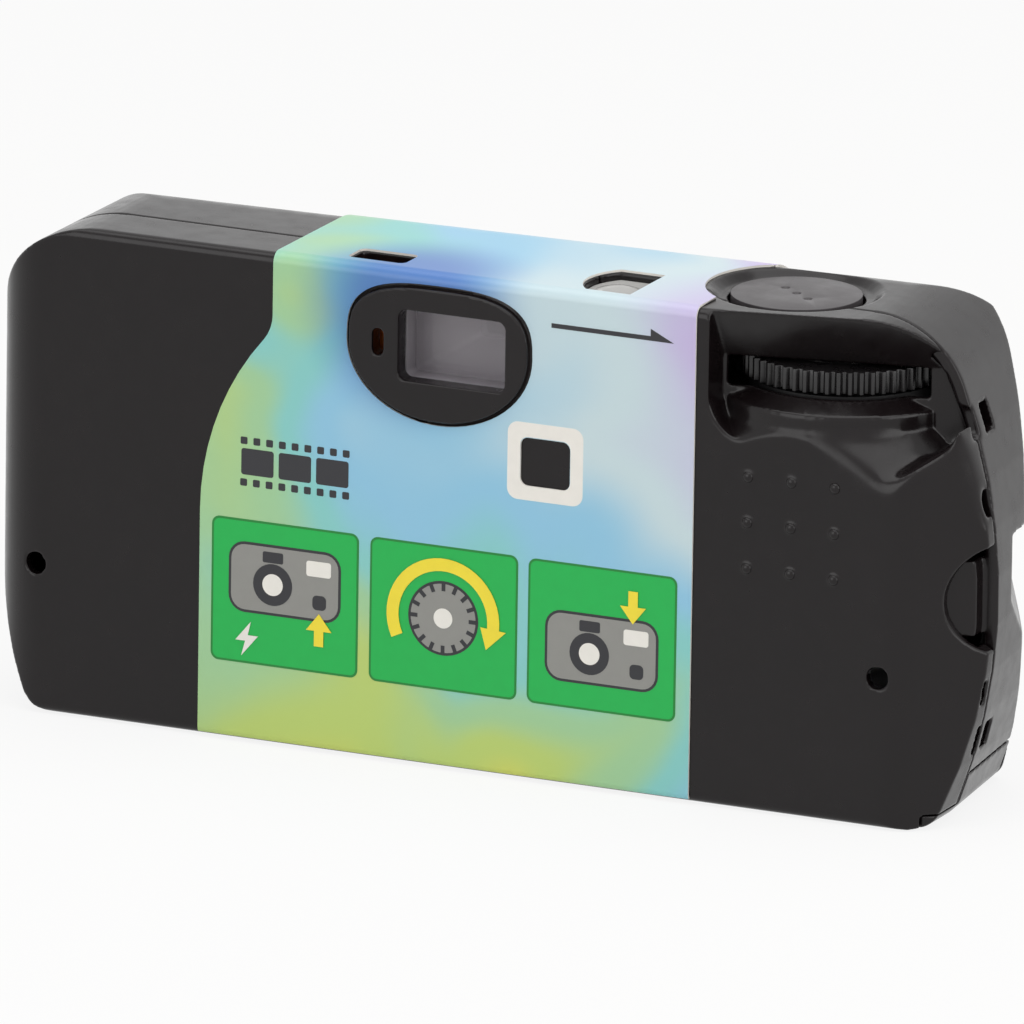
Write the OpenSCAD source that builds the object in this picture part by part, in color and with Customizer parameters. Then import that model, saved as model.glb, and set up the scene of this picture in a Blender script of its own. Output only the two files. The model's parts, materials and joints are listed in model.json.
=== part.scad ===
// Disposable 35 mm film camera with flash, in millimetres.
// Seen from behind: +X is right, +Y points at the subject, +Z is up.
// The origin lies on the floor under the middle of the camera.

/* [Body] */
// Width across both ends
body_w = 115; // [112:1:122]
// Height without the label
body_h = 54; // [53.8:0.1:58]
// Depth from the eyepiece rim to the lens ring
body_d = 34; // [33.5:0.5:38]
// Rear face to front face at the left end
left_d = 24.2; // [24:0.1:26]
// Rear face to front face at the right end
right_d = 29.4; // [29:0.1:31]
// Rear face to the seam between the covers
part_d = 8; // [7.5:0.25:9]
// Cover wall
wall = 1.4; // [1.2:0.05:1.5]
// Open seam between the two covers
seam = 0.15; // [0.1:0.05:0.3]

/* [Body corners] */
// Upper left corner seen from behind
top_left_r = 13; // [10:0.5:15]
// Upper right corner seen from behind
top_right_r = 11; // [9:0.5:13]
// Bulge of the right end
right_side_r = 62; // [55:1:90]
// Height where the right end is widest
right_mid_z = 24; // [20:1:28]
// Lower right corner
foot_right_r = 2.5; // [2:0.1:4]
// Sweep of the lower left end
left_sweep_r = 45; // [40:1:60]
// Height where that sweep starts
left_mid_z = 22; // [18:1:26]
// Lower left corner
foot_left_r = 4; // [3:0.5:6]
// Rear left edge in plan
rear_left_r = 7; // [5:0.5:9]
// Width of the slanted strip at the rear right
facet_w = 8; // [7:0.5:9]
// Turn of that strip
facet_a = 39; // [34:1:42]
// Rounding where that strip starts
facet_r = 6; // [4:0.5:8]
// Rounding where that strip meets the right end
edge_r = 0.8; // [0.4:0.1:1.2]
// Front left edge in plan
front_left_r = 10; // [8:0.5:11]
// Front right edge in plan
front_right_r = 17.5; // [16:0.5:19]
// Lean of the right end in front of the seam
end_lean = 6; // [4:0.5:7]
// Front edge of the top
top_front_r = 9; // [8:0.25:9.5]
// Front edge of the bottom
foot_front_r = 4; // [3:0.25:5]
// Rear edges of the top and bottom
rear_edge_r = 1; // [0.6:0.1:1.3]

/* [Winding wheel and thumb recess] */
// Right end to the wheel axis
wheel_in = 20.75; // [20.5:0.05:21.2]
// Rear face to the wheel axis
wheel_back = 14; // [13.9:0.05:14.3]
// Wheel radius over the ribs
wheel_r = 11; // [10.6:0.1:11.4]
// Wheel thickness
wheel_t = 2.4; // [2:0.1:2.6]
// Top of the body down to the top of the wheel
wheel_drop = 6; // [5.9:0.05:6.2]
// Number of ribs on the wheel
wheel_ribs = 56; // [40:2:64]
// Depth of the grooves between ribs
wheel_rib_h = 0.5; // [0.3:0.05:0.7]
// Turn of the recess floor in plan
recess_turn = 13; // [10:0.5:15]
// Wheel axis to the recess floor
recess_floor_r = 7.9; // [7.4:0.1:8.4]
// Wheel axis to the top edge of the recess
recess_hood_r = 11; // [10.6:0.1:11.4]
// Left edge of the recess, measured from the right end
recess_left = 30.3; // [29:0.1:32]
// Round lower left corner of the recess
recess_corner_r = 5; // [3:0.5:6]
// Wall behind the recess
recess_wall = 0.9; // [0.8:0.05:1]
// Bulge below the wheel
bulge_r = 13.7; // [13.6:0.05:13.9]
// Foot of the flare below the bulge
flare_r = 17.9; // [17:0.1:19]
// Height of the flare
flare_h = 5; // [4:0.1:6]

/* [Top] */
// Right end to the button centre
button_in = 25.8; // [25:0.1:26.4]
// Rear face to the button centre
button_back = 12.5; // [12:0.1:13]
// Button radius
button_r = 7; // [6.5:0.1:7.4]
// Dished ring around the button
dish_r = 9.3; // [8.8:0.1:9.6]
// Button travel
button_travel = 1.2; // [0.8:0.1:1.3]
// Width of the counter window
counter_w = 6.5; // [5.5:0.1:7]
// Length of the counter window
counter_l = 8.7; // [7.5:0.1:9]
// Length of the ready light opening
ready_l = 6.3; // [5.8:0.1:6.6]
// Width of the ready light opening
ready_w = 3.6; // [3.2:0.1:4]

/* [Rear] */
// Height of the rim round the eyepiece
eye_proud = 0.8; // [0.6:0.1:1]
// Width of that rim
rim_w = 20.9; // [19:0.1:22]
// Height of that rim below the eyepiece axis
rim_low = 8.1; // [7.7:0.1:8.5]
// Width of the eyepiece opening
eye_w = 12.4; // [11:0.1:12.8]
// Height of the eyepiece opening
eye_h = 7.8; // [7:0.1:8]
// Distance between the raised pips
pip_pitch = 5; // [4:0.25:6]
// Label thickness
label_t = 0.25; // [0.15:0.05:0.35]
// Label edge left of the middle
label_left = 31.7; // [30:0.1:34]
// Label edge right of the middle
label_right = 25.8; // [24:0.1:26.5]

/* [Film] */
// Cartridge radius over its end caps
cart_r = 12.5; // [12.2:0.05:12.6]
// Cartridge height over its end caps
cart_h = 41.8; // [41:0.1:42]
// Film width
film_w = 35; // [34.9:0.05:35.1]
// Film thickness
film_t = 0.2; // [0.12:0.02:0.22]
// Radius of the unexposed roll
roll_r = 7.7; // [7:0.1:7.9]
// Picture width
gate_w = 36; // [34:0.5:37]
// Picture height
gate_h = 24; // [22:0.5:25]

/* [Lens and shutter] */
// Lens ring radius at the front
ring_r = 13.5; // [12.5:0.25:14.5]
// Lens radius
lens_r = 4.4; // [4:0.1:4.8]
// Lens thickness at its middle
lens_t = 2.2; // [1.8:0.1:2.6]
// Stop radius
stop_r = 1.6; // [1.2:0.1:2]
// Shutter blade thickness
blade_t = 0.4; // [0.3:0.05:0.45]

/* [Flash and battery] */
// Width of the flash window
flash_w = 24; // [22:0.5:25]
// Height of the flash window
flash_h = 10; // [9:0.25:10.5]
// Travel of the flash switch
switch_travel = 3.5; // [3:0.1:3.6]
// Battery radius
battery_r = 5.2; // [5:0.05:5.25]
// Battery length without its nub
battery_l = 43.6; // [43:0.1:44]

/* [Fits] */
// Gap round a moving pin
pin_fit = 0.05; // [0.03:0.01:0.08]
// Gap round a sliding or turning piece
run_gap = 0.3; // [0.25:0.05:0.4]
// Gap round a seated piece
seat_gap = 0.1; // [0.05:0.05:0.15]
// Gap round the film door
door_gap = 0.25; // [0.2:0.05:0.35]

/* [Hidden] */
$fn = 64;
arc_step = 5;
far = 100;
eps = 0.02;

black = "#262425";
dark = "#3a3839";
clear = "#c9d4d8";
steel = "#b5b7ba";
brass = "#b8953f";
grey = "#807d7e";
board_green = "#2d6a45";
film_brown = "#5b463c";

// Body faces
rear_y = eye_proud - body_d / 2;
seam_y = rear_y + part_d;
rear_in = rear_y + wall;
top_in = body_h - wall;
slant = atan((right_d - left_d) / body_w);
function front_y(x) = rear_y + left_d + (right_d - left_d) * (x / body_w + 0.5);

// Winding wheel and cartridge share one axis
wheel_x = body_w / 2 - wheel_in;
wheel_y = rear_y + wheel_back;
wheel_z1 = body_h - wheel_drop;
wheel_z0 = wheel_z1 - wheel_t;
slot_z0 = wheel_z0 - run_gap - 0.2;
slot_z1 = wheel_z1 + run_gap + 0.1;
cart_z0 = wall + 0.4;
cart_z1 = cart_z0 + cart_h;
chamber_r = cart_r + run_gap;
chamber_wall = 1;
cap_t = 0.5;
cap_rim_t = 0.25;
cap_rim_h = 2;
shell_r = cart_r - cap_rim_t - 0.05;
shell_t = 0.3;
spool_r = 5.5;
spool_top = wheel_z1 + 0.1;
plate_z0 = cart_z1 + run_gap;
plate_z1 = slot_z0 + 0.1;
plate_r = bulge_r - 3.5;
shelf_r = wheel_r + 0.4;
shoulder_z = cart_z1 + 0.2;
flare_z1 = slot_z0 - 3.1;
flare_z0 = flare_z1 - flare_h;
slot_shift = -0.2;
slot_half = wheel_r - 0.1;
slot_deep = 3;
recess_x = body_w / 2 - recess_left;
lip_z = slot_z0 - 5;
lip_dip = 2.6;
lip_rise = 1.4;
lip_climb = 2;
dip_x = body_w / 2 - facet_w - 1.9;
dip_left = 7;
dip_right = 5.7;

// Film path
film_y = rear_in + 0.3;
film_mid_z = cart_z0 + cart_h / 2;
film_z0 = film_mid_z - film_w / 2;
film_z1 = film_mid_z + film_w / 2;
gate_y0 = film_y + film_t + seat_gap;
gate_t = 1;
gate_y1 = gate_y0 + gate_t;
lip_l = 6.5;
lip_x = wheel_x - 9.3;
film_end = 1;
roll_x = 19.5 - body_w / 2;
roll_y = film_y + roll_r;
roll_core_r = 3;
supply_r = roll_r + run_gap + 0.2;
supply_wall = 0.8;
supply_front = roll_y + supply_r + supply_wall;

// Deck over the film and base under it
deck_z0 = film_z1 + 0.25;
deck_t = 0.8;
deck_z1 = deck_z0 + deck_t;
deck_left = 17.5;
deck_right = wheel_x - 14.75;
deck_front = rear_y + 21.2;
base_z0 = wall + 0.3;
base_z1 = base_z0 + 1;
base_front = rear_y + 20.2;

// Sprocket, cam and counter
sprocket_tooth = 0.9;
sprocket_r = 5.5;
sprocket_x = 16.5;
sprocket_y = gate_y0 + sprocket_r;
sprocket_mid_z = film_z1 - 2;
sprocket_h = 3;
tooth_w = 1.2;
tooth_h = 1.6;
teeth = 8;
shaft_r = 1.5;
shelf_z1 = sprocket_mid_z - sprocket_h / 2 - 0.3;
shelf_t = 0.8;
cam_r = 3.5;
cam_z0 = deck_z1 + 0.5;
cam_drop = 1.75;
finger_r = 2.6;
dial_x = 17.5;
dial_y = rear_y + 12.8;
dial_r = 8.8;
dial_t = 1.2;
dial_z0 = wheel_z1 + 0.6;
finger_z0 = dial_z0 - 2.2;
finger_h = 1;
dial_gear_r = norm([dial_x - sprocket_x, dial_y - sprocket_y]) - finger_r - run_gap;
dial_gear_h = 2.4;
cam_h = dial_z0 - dial_gear_h - cam_drop - cam_z0;
dial_post_r = 1.2;

// Top openings
button_x = body_w / 2 - button_in;
button_y = rear_y + button_back;
dish_deep = 0.9;
ring_deep = 0.7;
counter_x = 13.95;
counter_y = rear_y + 5.9;
magnifier_r = 2.5;
ready_x = -12.45;
ready_y = rear_y + 3.8;

// Small features of the rear, as width and height
pip_first = [32, 26.5];
pip_r = 0.65;
pip_sunk = 0.25;
rear_holes = [[47.2, 16.4], [-51.3, 16.4]];
rear_hole_r = 1.2;
label_hole = [8.6, 35];
label_hole_w = 5.8;
label_hole_h = 5.3;

// Viewfinder
eye_x = -2.3;
finder_gap = 0.45;
finder_wall = 0.5;
eye_z = deck_z1 + finder_gap + finder_wall + eye_h / 2;
rim_x = -3.9;
rim_top = body_h - 1.5;
rim_square = 2 / 3;
finder_y0 = rear_in + seat_gap;
finder_y1 = rear_y + 21.7;
eye_slot_x = -10.9;
eye_slot_w = 1.3;
eye_slot_h = 3;

// Lens and shutter, along the lens axis
lens_z = film_mid_z;
board_y0 = rear_y + 21.7;
board_y1 = board_y0 + 1;
blade_y0 = board_y1 + 0.2;
blade_y1 = blade_y0 + blade_t;
stop_y0 = board_y1 + 0.9;
stop_y1 = stop_y0 + 1;
holder_y1 = stop_y1 + 5.1;
lens_y0 = holder_y1 - lens_t - 0.3;
holder_r = lens_r + 2.1;
blade_pivot = [7.5, lens_z + 8.25];
blade_pin_r = 1;
blade_tab = [6.5, deck_z1 + 2.2];
blade_lug = [blade_pivot.x + 5, blade_pivot.y];
blade_lug_w = 1.2;
blade_spring_l = 5.25;
blade_spring_z = blade_lug.y + blade_lug_w / 2 + 0.3;
spring_post = [blade_lug.x, blade_spring_z + blade_spring_l + 0.6];
post_r = 0.4;
ear_back = 0.6;
board_x0 = -11;
board_x1 = 9.8;
board_top = blade_pivot.y + 4.5;
board_low = lens_z - 10.75;
boss_r = ring_r + 2;
boss_wall = 2;
hood_r = 9;
hood_deep = 2.2;

// Shutter levers
lever_x = 9;
lever_y = rear_y + 17.7;
lever_z0 = deck_z1 + 0.1;
lever_z1 = lever_z0 + 1.8;
lever_t = 1.2;
lever_hub_r = 2.2;
lever_post_r = 1.1;
rod_y = rear_y + 21.7;
rod_r = 0.9;
arm_z1 = wheel_z1 + 2.7;
arm_t = 0.9;
rod_z = arm_z1 - arm_t - 0.2;
rod_x0 = wheel_x - 14.75;
rod_x1 = button_x + 5.2;

// Flash
flash_x = -30;
flash_z = body_h - 10.5;
flash_face_y = front_y(flash_x) + 1.3;
bezel = 2;
frame_w = 1.3;
window_t = 1.4;
board_gap = 0.5;
pcb_y0 = supply_front + board_gap;
pcb_t = 1;
pcb_y1 = pcb_y0 + pcb_t;
pcb_x0 = 7.5 - body_w / 2;
pcb_x1 = -27;
pcb_z0 = 6;
pcb_z1 = flash_z - flash_h / 2 - 3;
tube_r = 1.5;
capacitor_x = -18.5;
capacitor_y = rear_y + 18;
capacitor_r = 4;
capacitor_z0 = 14;
capacitor_l = 23;
switch_x = -26;
switch_z = 19;
switch_r = 5;
neck_w = 3.6;
neck_h = 7.8;
flange_half = 4;
flange_y1 = front_y(switch_x - flange_half) - wall - 0.4;
flange_y0 = flange_y1 - 1.3;
link_w = 2;
link_t = 1.1;
link_x0 = ready_x - ready_l / 2 + run_gap;
link_z1 = deck_z1 + 3.3;
link_h = 1.6;

// Battery
battery_y = rear_y + 18.8;
battery_z = base_z1 + battery_r + 0.05;
contact_t = 0.4;

// Film door
door_x = 23;
door_rear = rear_y + 2.2;
door_front = rear_y + 23.2;
door_side_rear = rear_y + 8.7;
door_side_z = 4.65;
knuckle_r = wall / 2;
side_x = body_w / 2 - 9;

// Latch windows in the right end: distance from the rear face, height, width, length
LATCHES = [[7.2, 41.6, 1.6, 3.2], [10.8, 41.5, 2.6, 3], [6.9, 33.5, 1.1, 2.8], [6.2, 13.1, 1, 2.6],
  [7, 7.3, 1.4, 3.1], [9.5, 7.4, 2.4, 2.9]];

// Nail notch at the rear right edge, and the finger notch in front of it
notch_x = body_w / 2 + 2;
notch_z = 24.7;
notch_r = 6.2;
tongue_h = 8.2;
tongue_t = 1;
grip_z0 = 18.2;
grip_z1 = 30;
grip_slope = 4.8;
grip_deep = 1.3;
grip_turn = 24;
grip_back = 1.3;

// Label outline
label_foot = 0.4;
bow_z = 25;
bow_r = 30;
bow_a = 40.5;
bow_back_r = 4.5;
label_top_left = bow_r - label_left - (bow_r + bow_back_r) * cos(bow_a) + bow_back_r;

// Points on an arc
function turn(c, r, a0, a1) =
  let (n = max(2, ceil(abs(a1 - a0) / arc_step)), s = max(r, 0.05))
  [for (i = [0:n]) c + s * [cos(a0 + (a1 - a0) * i / n), sin(a0 + (a1 - a0) * i / n)]];
// The same points without the first, for an arc that starts where the last one ended
function after(p) = [for (i = [1:len(p) - 1]) p[i]];

// Outline from behind, grown by g
function end_points(g) =
  let (
    rc = [body_w / 2 - right_side_r, right_mid_z],
    tz = body_h - top_right_r,
    tx = rc.x + sqrt(pow(right_side_r - top_right_r, 2) - pow(tz - rc.y, 2)),
    ta = atan2(tz - rc.y, tx - rc.x),
    bx = rc.x + sqrt(pow(right_side_r - foot_right_r, 2) - pow(rc.y - foot_right_r, 2)),
    ba = atan2(foot_right_r - rc.y, bx - rc.x),
    lc = [left_sweep_r - body_w / 2, left_mid_z],
    lx = lc.x - sqrt(pow(left_sweep_r - foot_left_r, 2) - pow(lc.y - foot_left_r, 2)),
    la = 180 + atan2(lc.y - foot_left_r, lc.x - lx)
  )
  concat(
    turn([bx, foot_right_r], foot_right_r + g, -90, ba),
    after(turn(rc, right_side_r + g, ba, ta)),
    after(turn([tx, tz], top_right_r + g, ta, 90)),
    turn([top_left_r - body_w / 2, body_h - top_left_r], top_left_r + g, 90, 180),
    turn(lc, left_sweep_r + g, 180, la),
    after(turn([lx, foot_left_r], foot_left_r + g, la, 270))
  );

// Outline from above, grown by g
function plan_points(g) =
  let (
    w = body_w / 2,
    fc = [w - facet_w - facet_r * tan(facet_a / 2), rear_y + facet_r],
    ec = [w - edge_r, rear_y + facet_w * tan(facet_a) + edge_r * (1 - sin(facet_a)) / cos(facet_a)],
    rc = [w - front_right_r, front_y(w - front_right_r) - front_right_r / cos(slant)],
    lc = [front_left_r - w, front_y(front_left_r - w) - front_left_r / cos(slant)]
  )
  concat(
    turn([rear_left_r - w, rear_y + rear_left_r], rear_left_r + g, 180, 270),
    turn(fc, facet_r + g, 270, 270 + facet_a),
    turn(ec, edge_r + g, 270 + facet_a, 360),
    turn(rc, front_right_r + g, 0, 90 + slant),
    turn(lc, front_left_r + g, 90 + slant, 180)
  );

// Rounded rear edges, as a side view grown by g
function rear_points(g) = concat(
  turn([rear_y + rear_edge_r, rear_edge_r], rear_edge_r + g, 180, 270),
  [[far, -g], [far, body_h + g]],
  turn([rear_y + rear_edge_r, body_h - rear_edge_r], rear_edge_r + g, 90, 180));

// Rounded front edges, as a side view measured from the front face
function front_points(g) = concat(
  [[-far, body_h + g], [-far, -g]],
  turn([-foot_front_r, foot_front_r], foot_front_r + g, 270, 360),
  turn([-top_front_r, body_h - top_front_r], top_front_r + g, 0, 90));

// A block between two corners
module block(a, b) {
  translate(a)
    cube(b - a);
}

// A side view, drawn as depth and height, drawn out across the camera
module across(l) {
  rotate([90, 0, 90])
    linear_extrude(l, center = true)
      children();
}

// A front view, drawn as width and height, drawn out from y0 to y1
module facing(y0, y1) {
  translate([0, y1, 0])
    rotate([90, 0, 0])
      linear_extrude(y1 - y0)
        children();
}

// A rectangle with round corners about a point
module round_rect(c, w, h, r) {
  translate([c.x - w / 2 + r, c.y - h / 2])
    square([w - 2 * r, h]);
  translate([c.x - w / 2, c.y - h / 2 + r])
    square([w, h - 2 * r]);
  for (sx = [-1, 1], sy = [-1, 1])
    translate([c.x + sx * (w / 2 - r), c.y + sy * (h / 2 - r)])
      circle(r);
}

// A bar with round ends between two points
module bar(p, q, w) {
  translate(p)
    circle(w / 2);
  translate(q)
    circle(w / 2);
  translate(p)
    rotate(atan2(q.y - p.y, q.x - p.x))
      translate([0, -w / 2])
        square([norm(q - p), w]);
}

// A bar from inside a hub to a round end that is slightly wider
module arm(p, q, w) {
  translate(q)
    circle(w / 2 + 0.1);
  translate(p)
    rotate(atan2(q.y - p.y, q.x - p.x))
      translate([lever_post_r + 0.5, -w / 2])
        square([norm(q - p) - lever_post_r - 0.5, w]);
}

// One unbroken tube wound round the z axis
module coil(r, wire, turns, pitch) {
  sides = 8;
  steps = 12;
  n = turns * steps;
  points = [for (i = [0:n], k = [0:sides - 1])
    let (a = 360 * i / steps, b = 360 * k / sides, s = r + wire * cos(b))
    [s * cos(a), s * sin(a), pitch * i / steps + wire * sin(b)]];
  walls = [for (i = [0:n - 1], k = [0:sides - 1])
    let (m = (k + 1) % sides)
    [i * sides + k, (i + 1) * sides + k, (i + 1) * sides + m, i * sides + m]];
  ends = [[for (k = [0:sides - 1]) k], [for (k = [0:sides - 1]) n * sides + sides - 1 - k]];
  echo(spring_gap = pitch - 2 * wire);
  polyhedron(points, concat(walls, ends));
}

// A straight hollow that narrows from the picture to the stop, grown by g
module light_cone(g) {
  y0 = gate_y0 - eps;
  y1 = board_y1;
  w0 = gate_w / 2 + g;
  h0 = gate_h / 2 + g;
  r1 = lens_r + g;
  intersection() {
    translate([0, 0, lens_z - h0])
      linear_extrude(2 * h0)
        polygon([[-w0, y0], [w0, y0], [r1, y1], [-r1, y1]]);
    across(2 * w0)
      polygon([[y0, lens_z - h0], [y1, lens_z - r1], [y1, lens_z + r1], [y0, lens_z + h0]]);
  }
}

// The outside of the closed body, grown by g
module envelope(g) {
  intersection() {
    translate([0, 0, -g])
      linear_extrude(body_h + 2 * g)
        polygon(plan_points(g));
    facing(-far, far)
      polygon(end_points(g));
    translate([body_w / 2, seam_y, 0])
      rotate(end_lean)
        translate([-body_w / 2, 0, 0])
          facing(-far, far) {
            polygon(end_points(g));
            translate([-far, -g])
              square([far, body_h + 2 * g]);
          }
    across(2 * far)
      polygon(rear_points(g));
    translate([0, front_y(0), 0])
      rotate(slant)
        across(4 * far)
          polygon(front_points(g));
  }
}

module wheel_axis() {
  translate([wheel_x, wheel_y, 0])
    children();
}

// What stays standing below the wheel: a bulge that flares out downwards
module bulge(g) {
  wheel_axis()
    rotate_extrude()
      polygon([[0, -g], [flare_r - g, -g], [flare_r - g, flare_z0 - g], [bulge_r - g, flare_z1 - g],
        [bulge_r - g, shoulder_z], [shelf_r - g, slot_z0], [0, slot_z0]]);
}

// The recess from behind, grown by g: a round corner, the lip, a dip at the rear right bend, a climb
module recess_outline(g) {
  c = [recess_x + recess_corner_r, lip_z + recess_corner_r];
  rise = [dip_x + dip_right, lip_z + lip_rise];
  polygon(concat(turn(c, recess_corner_r + g, 180, 270),
    [[dip_x - dip_left, lip_z - g], [dip_x, lip_z - lip_dip - g], rise - [0, g],
     [far, rise.y - g + lip_climb * (far - rise.x)], [recess_x - g, far]]));
}

// The thumb recess, moved inwards by g
module recess(g) {
  difference() {
    intersection() {
      wheel_axis()
        rotate(recess_turn)
          across(2 * far)
            polygon([[-far, 0], [g - recess_floor_r, 0], [g - recess_floor_r, slot_z1],
              [g - recess_hood_r, body_h], [g - recess_hood_r, far], [-far, far]]);
      facing(-far, far)
        recess_outline(g);
    }
    bulge(g);
  }
}

module wheel_slot() {
  wheel_axis()
    rotate(recess_turn)
      block([slot_shift - slot_half, -wheel_r - 1, slot_z0],
        [slot_shift + slot_half, recess_wall + slot_deep - recess_floor_r, slot_z1]);
}

// Openings in the top: button with its dish, counter window, ready light
module top_openings() {
  translate([button_x, button_y, 0]) {
    translate([0, 0, top_in - 2])
      cylinder(r = button_r + run_gap, h = far);
    translate([0, 0, body_h - dish_deep])
      cylinder(r1 = dish_r - 1.1, r2 = dish_r, h = dish_deep + eps);
  }
  translate([0, 0, top_in - 1])
    linear_extrude(far)
      counter_outline(0);
  translate([ready_x, ready_y, top_in - 1])
    linear_extrude(far)
      round_rect([0, 0], ready_l, ready_w, 0.6);
}

// The counter window has a bowed left side
module counter_outline(g) {
  translate([counter_x, counter_y])
    intersection() {
      translate([-counter_w / 2 - g, -counter_l / 2 - g])
        square([counter_w + 2 * g, counter_l + 2 * g]);
      translate([counter_l * 0.75 - counter_w / 2, 0])
        circle(counter_l * 0.75 + g);
    }
}

// The rim is half an ellipse below, and squarer above
module rim_outline(g) {
  n = 32;
  a = rim_w / 2 + g;
  up = rim_top - eye_z + g;
  low = rim_low + g;
  polygon([for (i = [0:2 * n - 1])
    let (c = cos(180 * i / n), s = sin(180 * i / n), k = i > n ? 1 : rim_square)
    [rim_x + a * sign(c) * pow(abs(c), k), eye_z + (i > n ? low : up) * sign(s) * pow(abs(s), k)]]);
}

module eye_openings() {
  facing(-far, rear_in + 1)
    round_rect([eye_x, eye_z], eye_w, eye_h, 1);
  facing(-far, rear_in + 1)
    bar([eye_slot_x, eye_z - eye_slot_h / 2 + eye_slot_w / 2],
      [eye_slot_x, eye_z + eye_slot_h / 2 - eye_slot_w / 2], eye_slot_w);
}

module latch_windows() {
  difference() {
    for (l = LATCHES)
      block([side_x, rear_y + l[0], l[1]], [far, rear_y + l[0] + l[2], l[1] + l[3]]);
    envelope(-wall - seat_gap / 2);
  }
}

// Half-round notch where a nail opens the covers
module nail_notch() {
  translate([notch_x, 0, notch_z])
    rotate([90, 0, 0])
      cylinder(r = notch_r, h = far);
}

// Room for the film door, grown by g
module door_space(g) {
  block([door_x - g, door_rear - g, -g], [far, door_front + g, wall + 0.1]);
  block([side_x, door_side_rear - g, -g], [far, door_front + g, door_side_z + g]);
  block([door_x - knuckle_r - g, door_rear - g, -g], [door_x, door_front + g, knuckle_r]);
  translate([door_x, door_rear - g, knuckle_r])
    rotate([-90, 0, 0])
      cylinder(r = knuckle_r + g, h = door_front - door_rear + 2 * g);
}

module dish_ring() {
  translate([button_x, button_y, top_in - ring_deep])
    cylinder(r = dish_r + 1.2, h = ring_deep + 0.1);
}

// Groove that the sprocket's teeth run in behind the film
module tooth_groove() {
  h = tooth_h + 2 * run_gap;
  translate([sprocket_x, sprocket_y, sprocket_mid_z - h / 2])
    cylinder(r = sprocket_r + sprocket_tooth + run_gap, h = h);
}

// Room for the cartridge where the front edge of the bottom comes close
module cartridge_room() {
  wheel_axis()
    translate([0, 0, cart_z0 - seat_gap])
      cylinder(r = cart_r + seat_gap, h = cart_h);
}

module rear_cover() {
  color(black)
    difference() {
      union() {
        difference() {
          intersection() {
            envelope(0);
            block([-far, -far, -far], [far, seam_y - seam / 2, far]);
          }
          difference() {
            envelope(-wall);
            recess(recess_wall);
          }
        }
        intersection() {
          dish_ring();
          envelope(-wall / 2);
          block([-far, -far, -far], [far, seam_y - seam / 2, far]);
        }
        intersection() {
          recess(recess_wall);
          envelope(-wall - seat_gap);
          block([-far, seam_y - 1, -far], [far, wheel_y, far]);
        }
        facing(rear_y - eye_proud, rear_y + wall)
          rim_outline(0);
        for (i = [0:2], k = [0:2])
          translate([pip_first.x + i * pip_pitch, rear_y + pip_sunk, pip_first.y + k * pip_pitch])
            sphere(pip_r);
      }
      recess(0);
      wheel_slot();
      top_openings();
      eye_openings();
      latch_windows();
      nail_notch();
      door_space(door_gap);
      tooth_groove();
      for (h = rear_holes)
        facing(-far, rear_in + 2)
          translate(h)
            circle(rear_hole_r);
    }
}

// Frame round the front viewfinder opening and round the flash
module front_frames() {
  facing(stop_y1 - 0.8, front_y(eye_x) + 0.6)
    round_rect([eye_x, eye_z], eye_w + 2 * frame_w, eye_h + 2 * frame_w, 1);
  facing(flash_face_y - window_t - 2.4, flash_face_y)
    round_rect([flash_x, flash_z], flash_w + 2 * bezel, flash_h + 2 * bezel, 1.5);
}

module lens_boss() {
  translate([0, front_y(boss_r) - wall - 2, lens_z])
    rotate([-90, 0, 0])
      cylinder(r1 = boss_r + 0.5, r2 = ring_r, h = body_d / 2 - front_y(boss_r) + wall + 2);
}

module lens_boss_cavity() {
  translate([0, 0, lens_z])
    rotate([-90, 0, 0]) {
      cylinder(r = ring_r - boss_wall, h = holder_y1 + 0.7);
      cylinder(r = lens_r + 0.5, h = far);
      translate([0, 0, body_d / 2 - hood_deep])
        cylinder(r1 = lens_r + 0.5, r2 = hood_r, h = hood_deep + eps);
    }
}

// Tongue that backs the nail notch, and the ribs that carry the release lever
module front_inner() {
  skin = wall + run_gap;
  lap = 3;
  intersection() {
    difference() {
      envelope(-skin);
      envelope(-skin - tongue_t);
    }
    block([side_x - 4, seam_y - 4, notch_z - tongue_h / 2], [far, seam_y + lap, notch_z + tongue_h / 2]);
  }
  intersection() {
    difference() {
      envelope(-wall / 2);
      envelope(-skin - tongue_t);
    }
    block([side_x - 4, seam_y + seam, notch_z - tongue_h / 2], [far, seam_y + lap, notch_z + tongue_h / 2]);
  }
  intersection() {
    envelope(-wall / 2);
    for (x = [rod_x0 + 3.4, rod_x1 - 1.4])
      block([x, rod_y - 1.4, rod_z - 1.15], [x + 1, rod_y + 1.4, far]);
  }
}

// Finger notch in the front right edge: a flat cut with a long slope at its foot
module grip_notch() {
  r = front_right_r;
  x = body_w / 2 - r;
  translate([x, front_y(x) - r / cos(slant), 0])
    rotate(grip_turn)
      facing(-r, r)
        polygon([[r + 1, grip_z0], [r + 1, grip_z1], [r - grip_deep, grip_z1],
          [r - grip_deep, grip_z0 + grip_slope], [r, grip_z0]]);
}

// The wall is doubled behind the finger notch
module grip_wall() {
  intersection() {
    difference() {
      envelope(-wall / 2);
      envelope(-wall - grip_back);
    }
    block([side_x - 6, seam_y + 3, grip_z0 - 1], [far, front_y(side_x) - 2, grip_z1 + 1]);
  }
}

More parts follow.
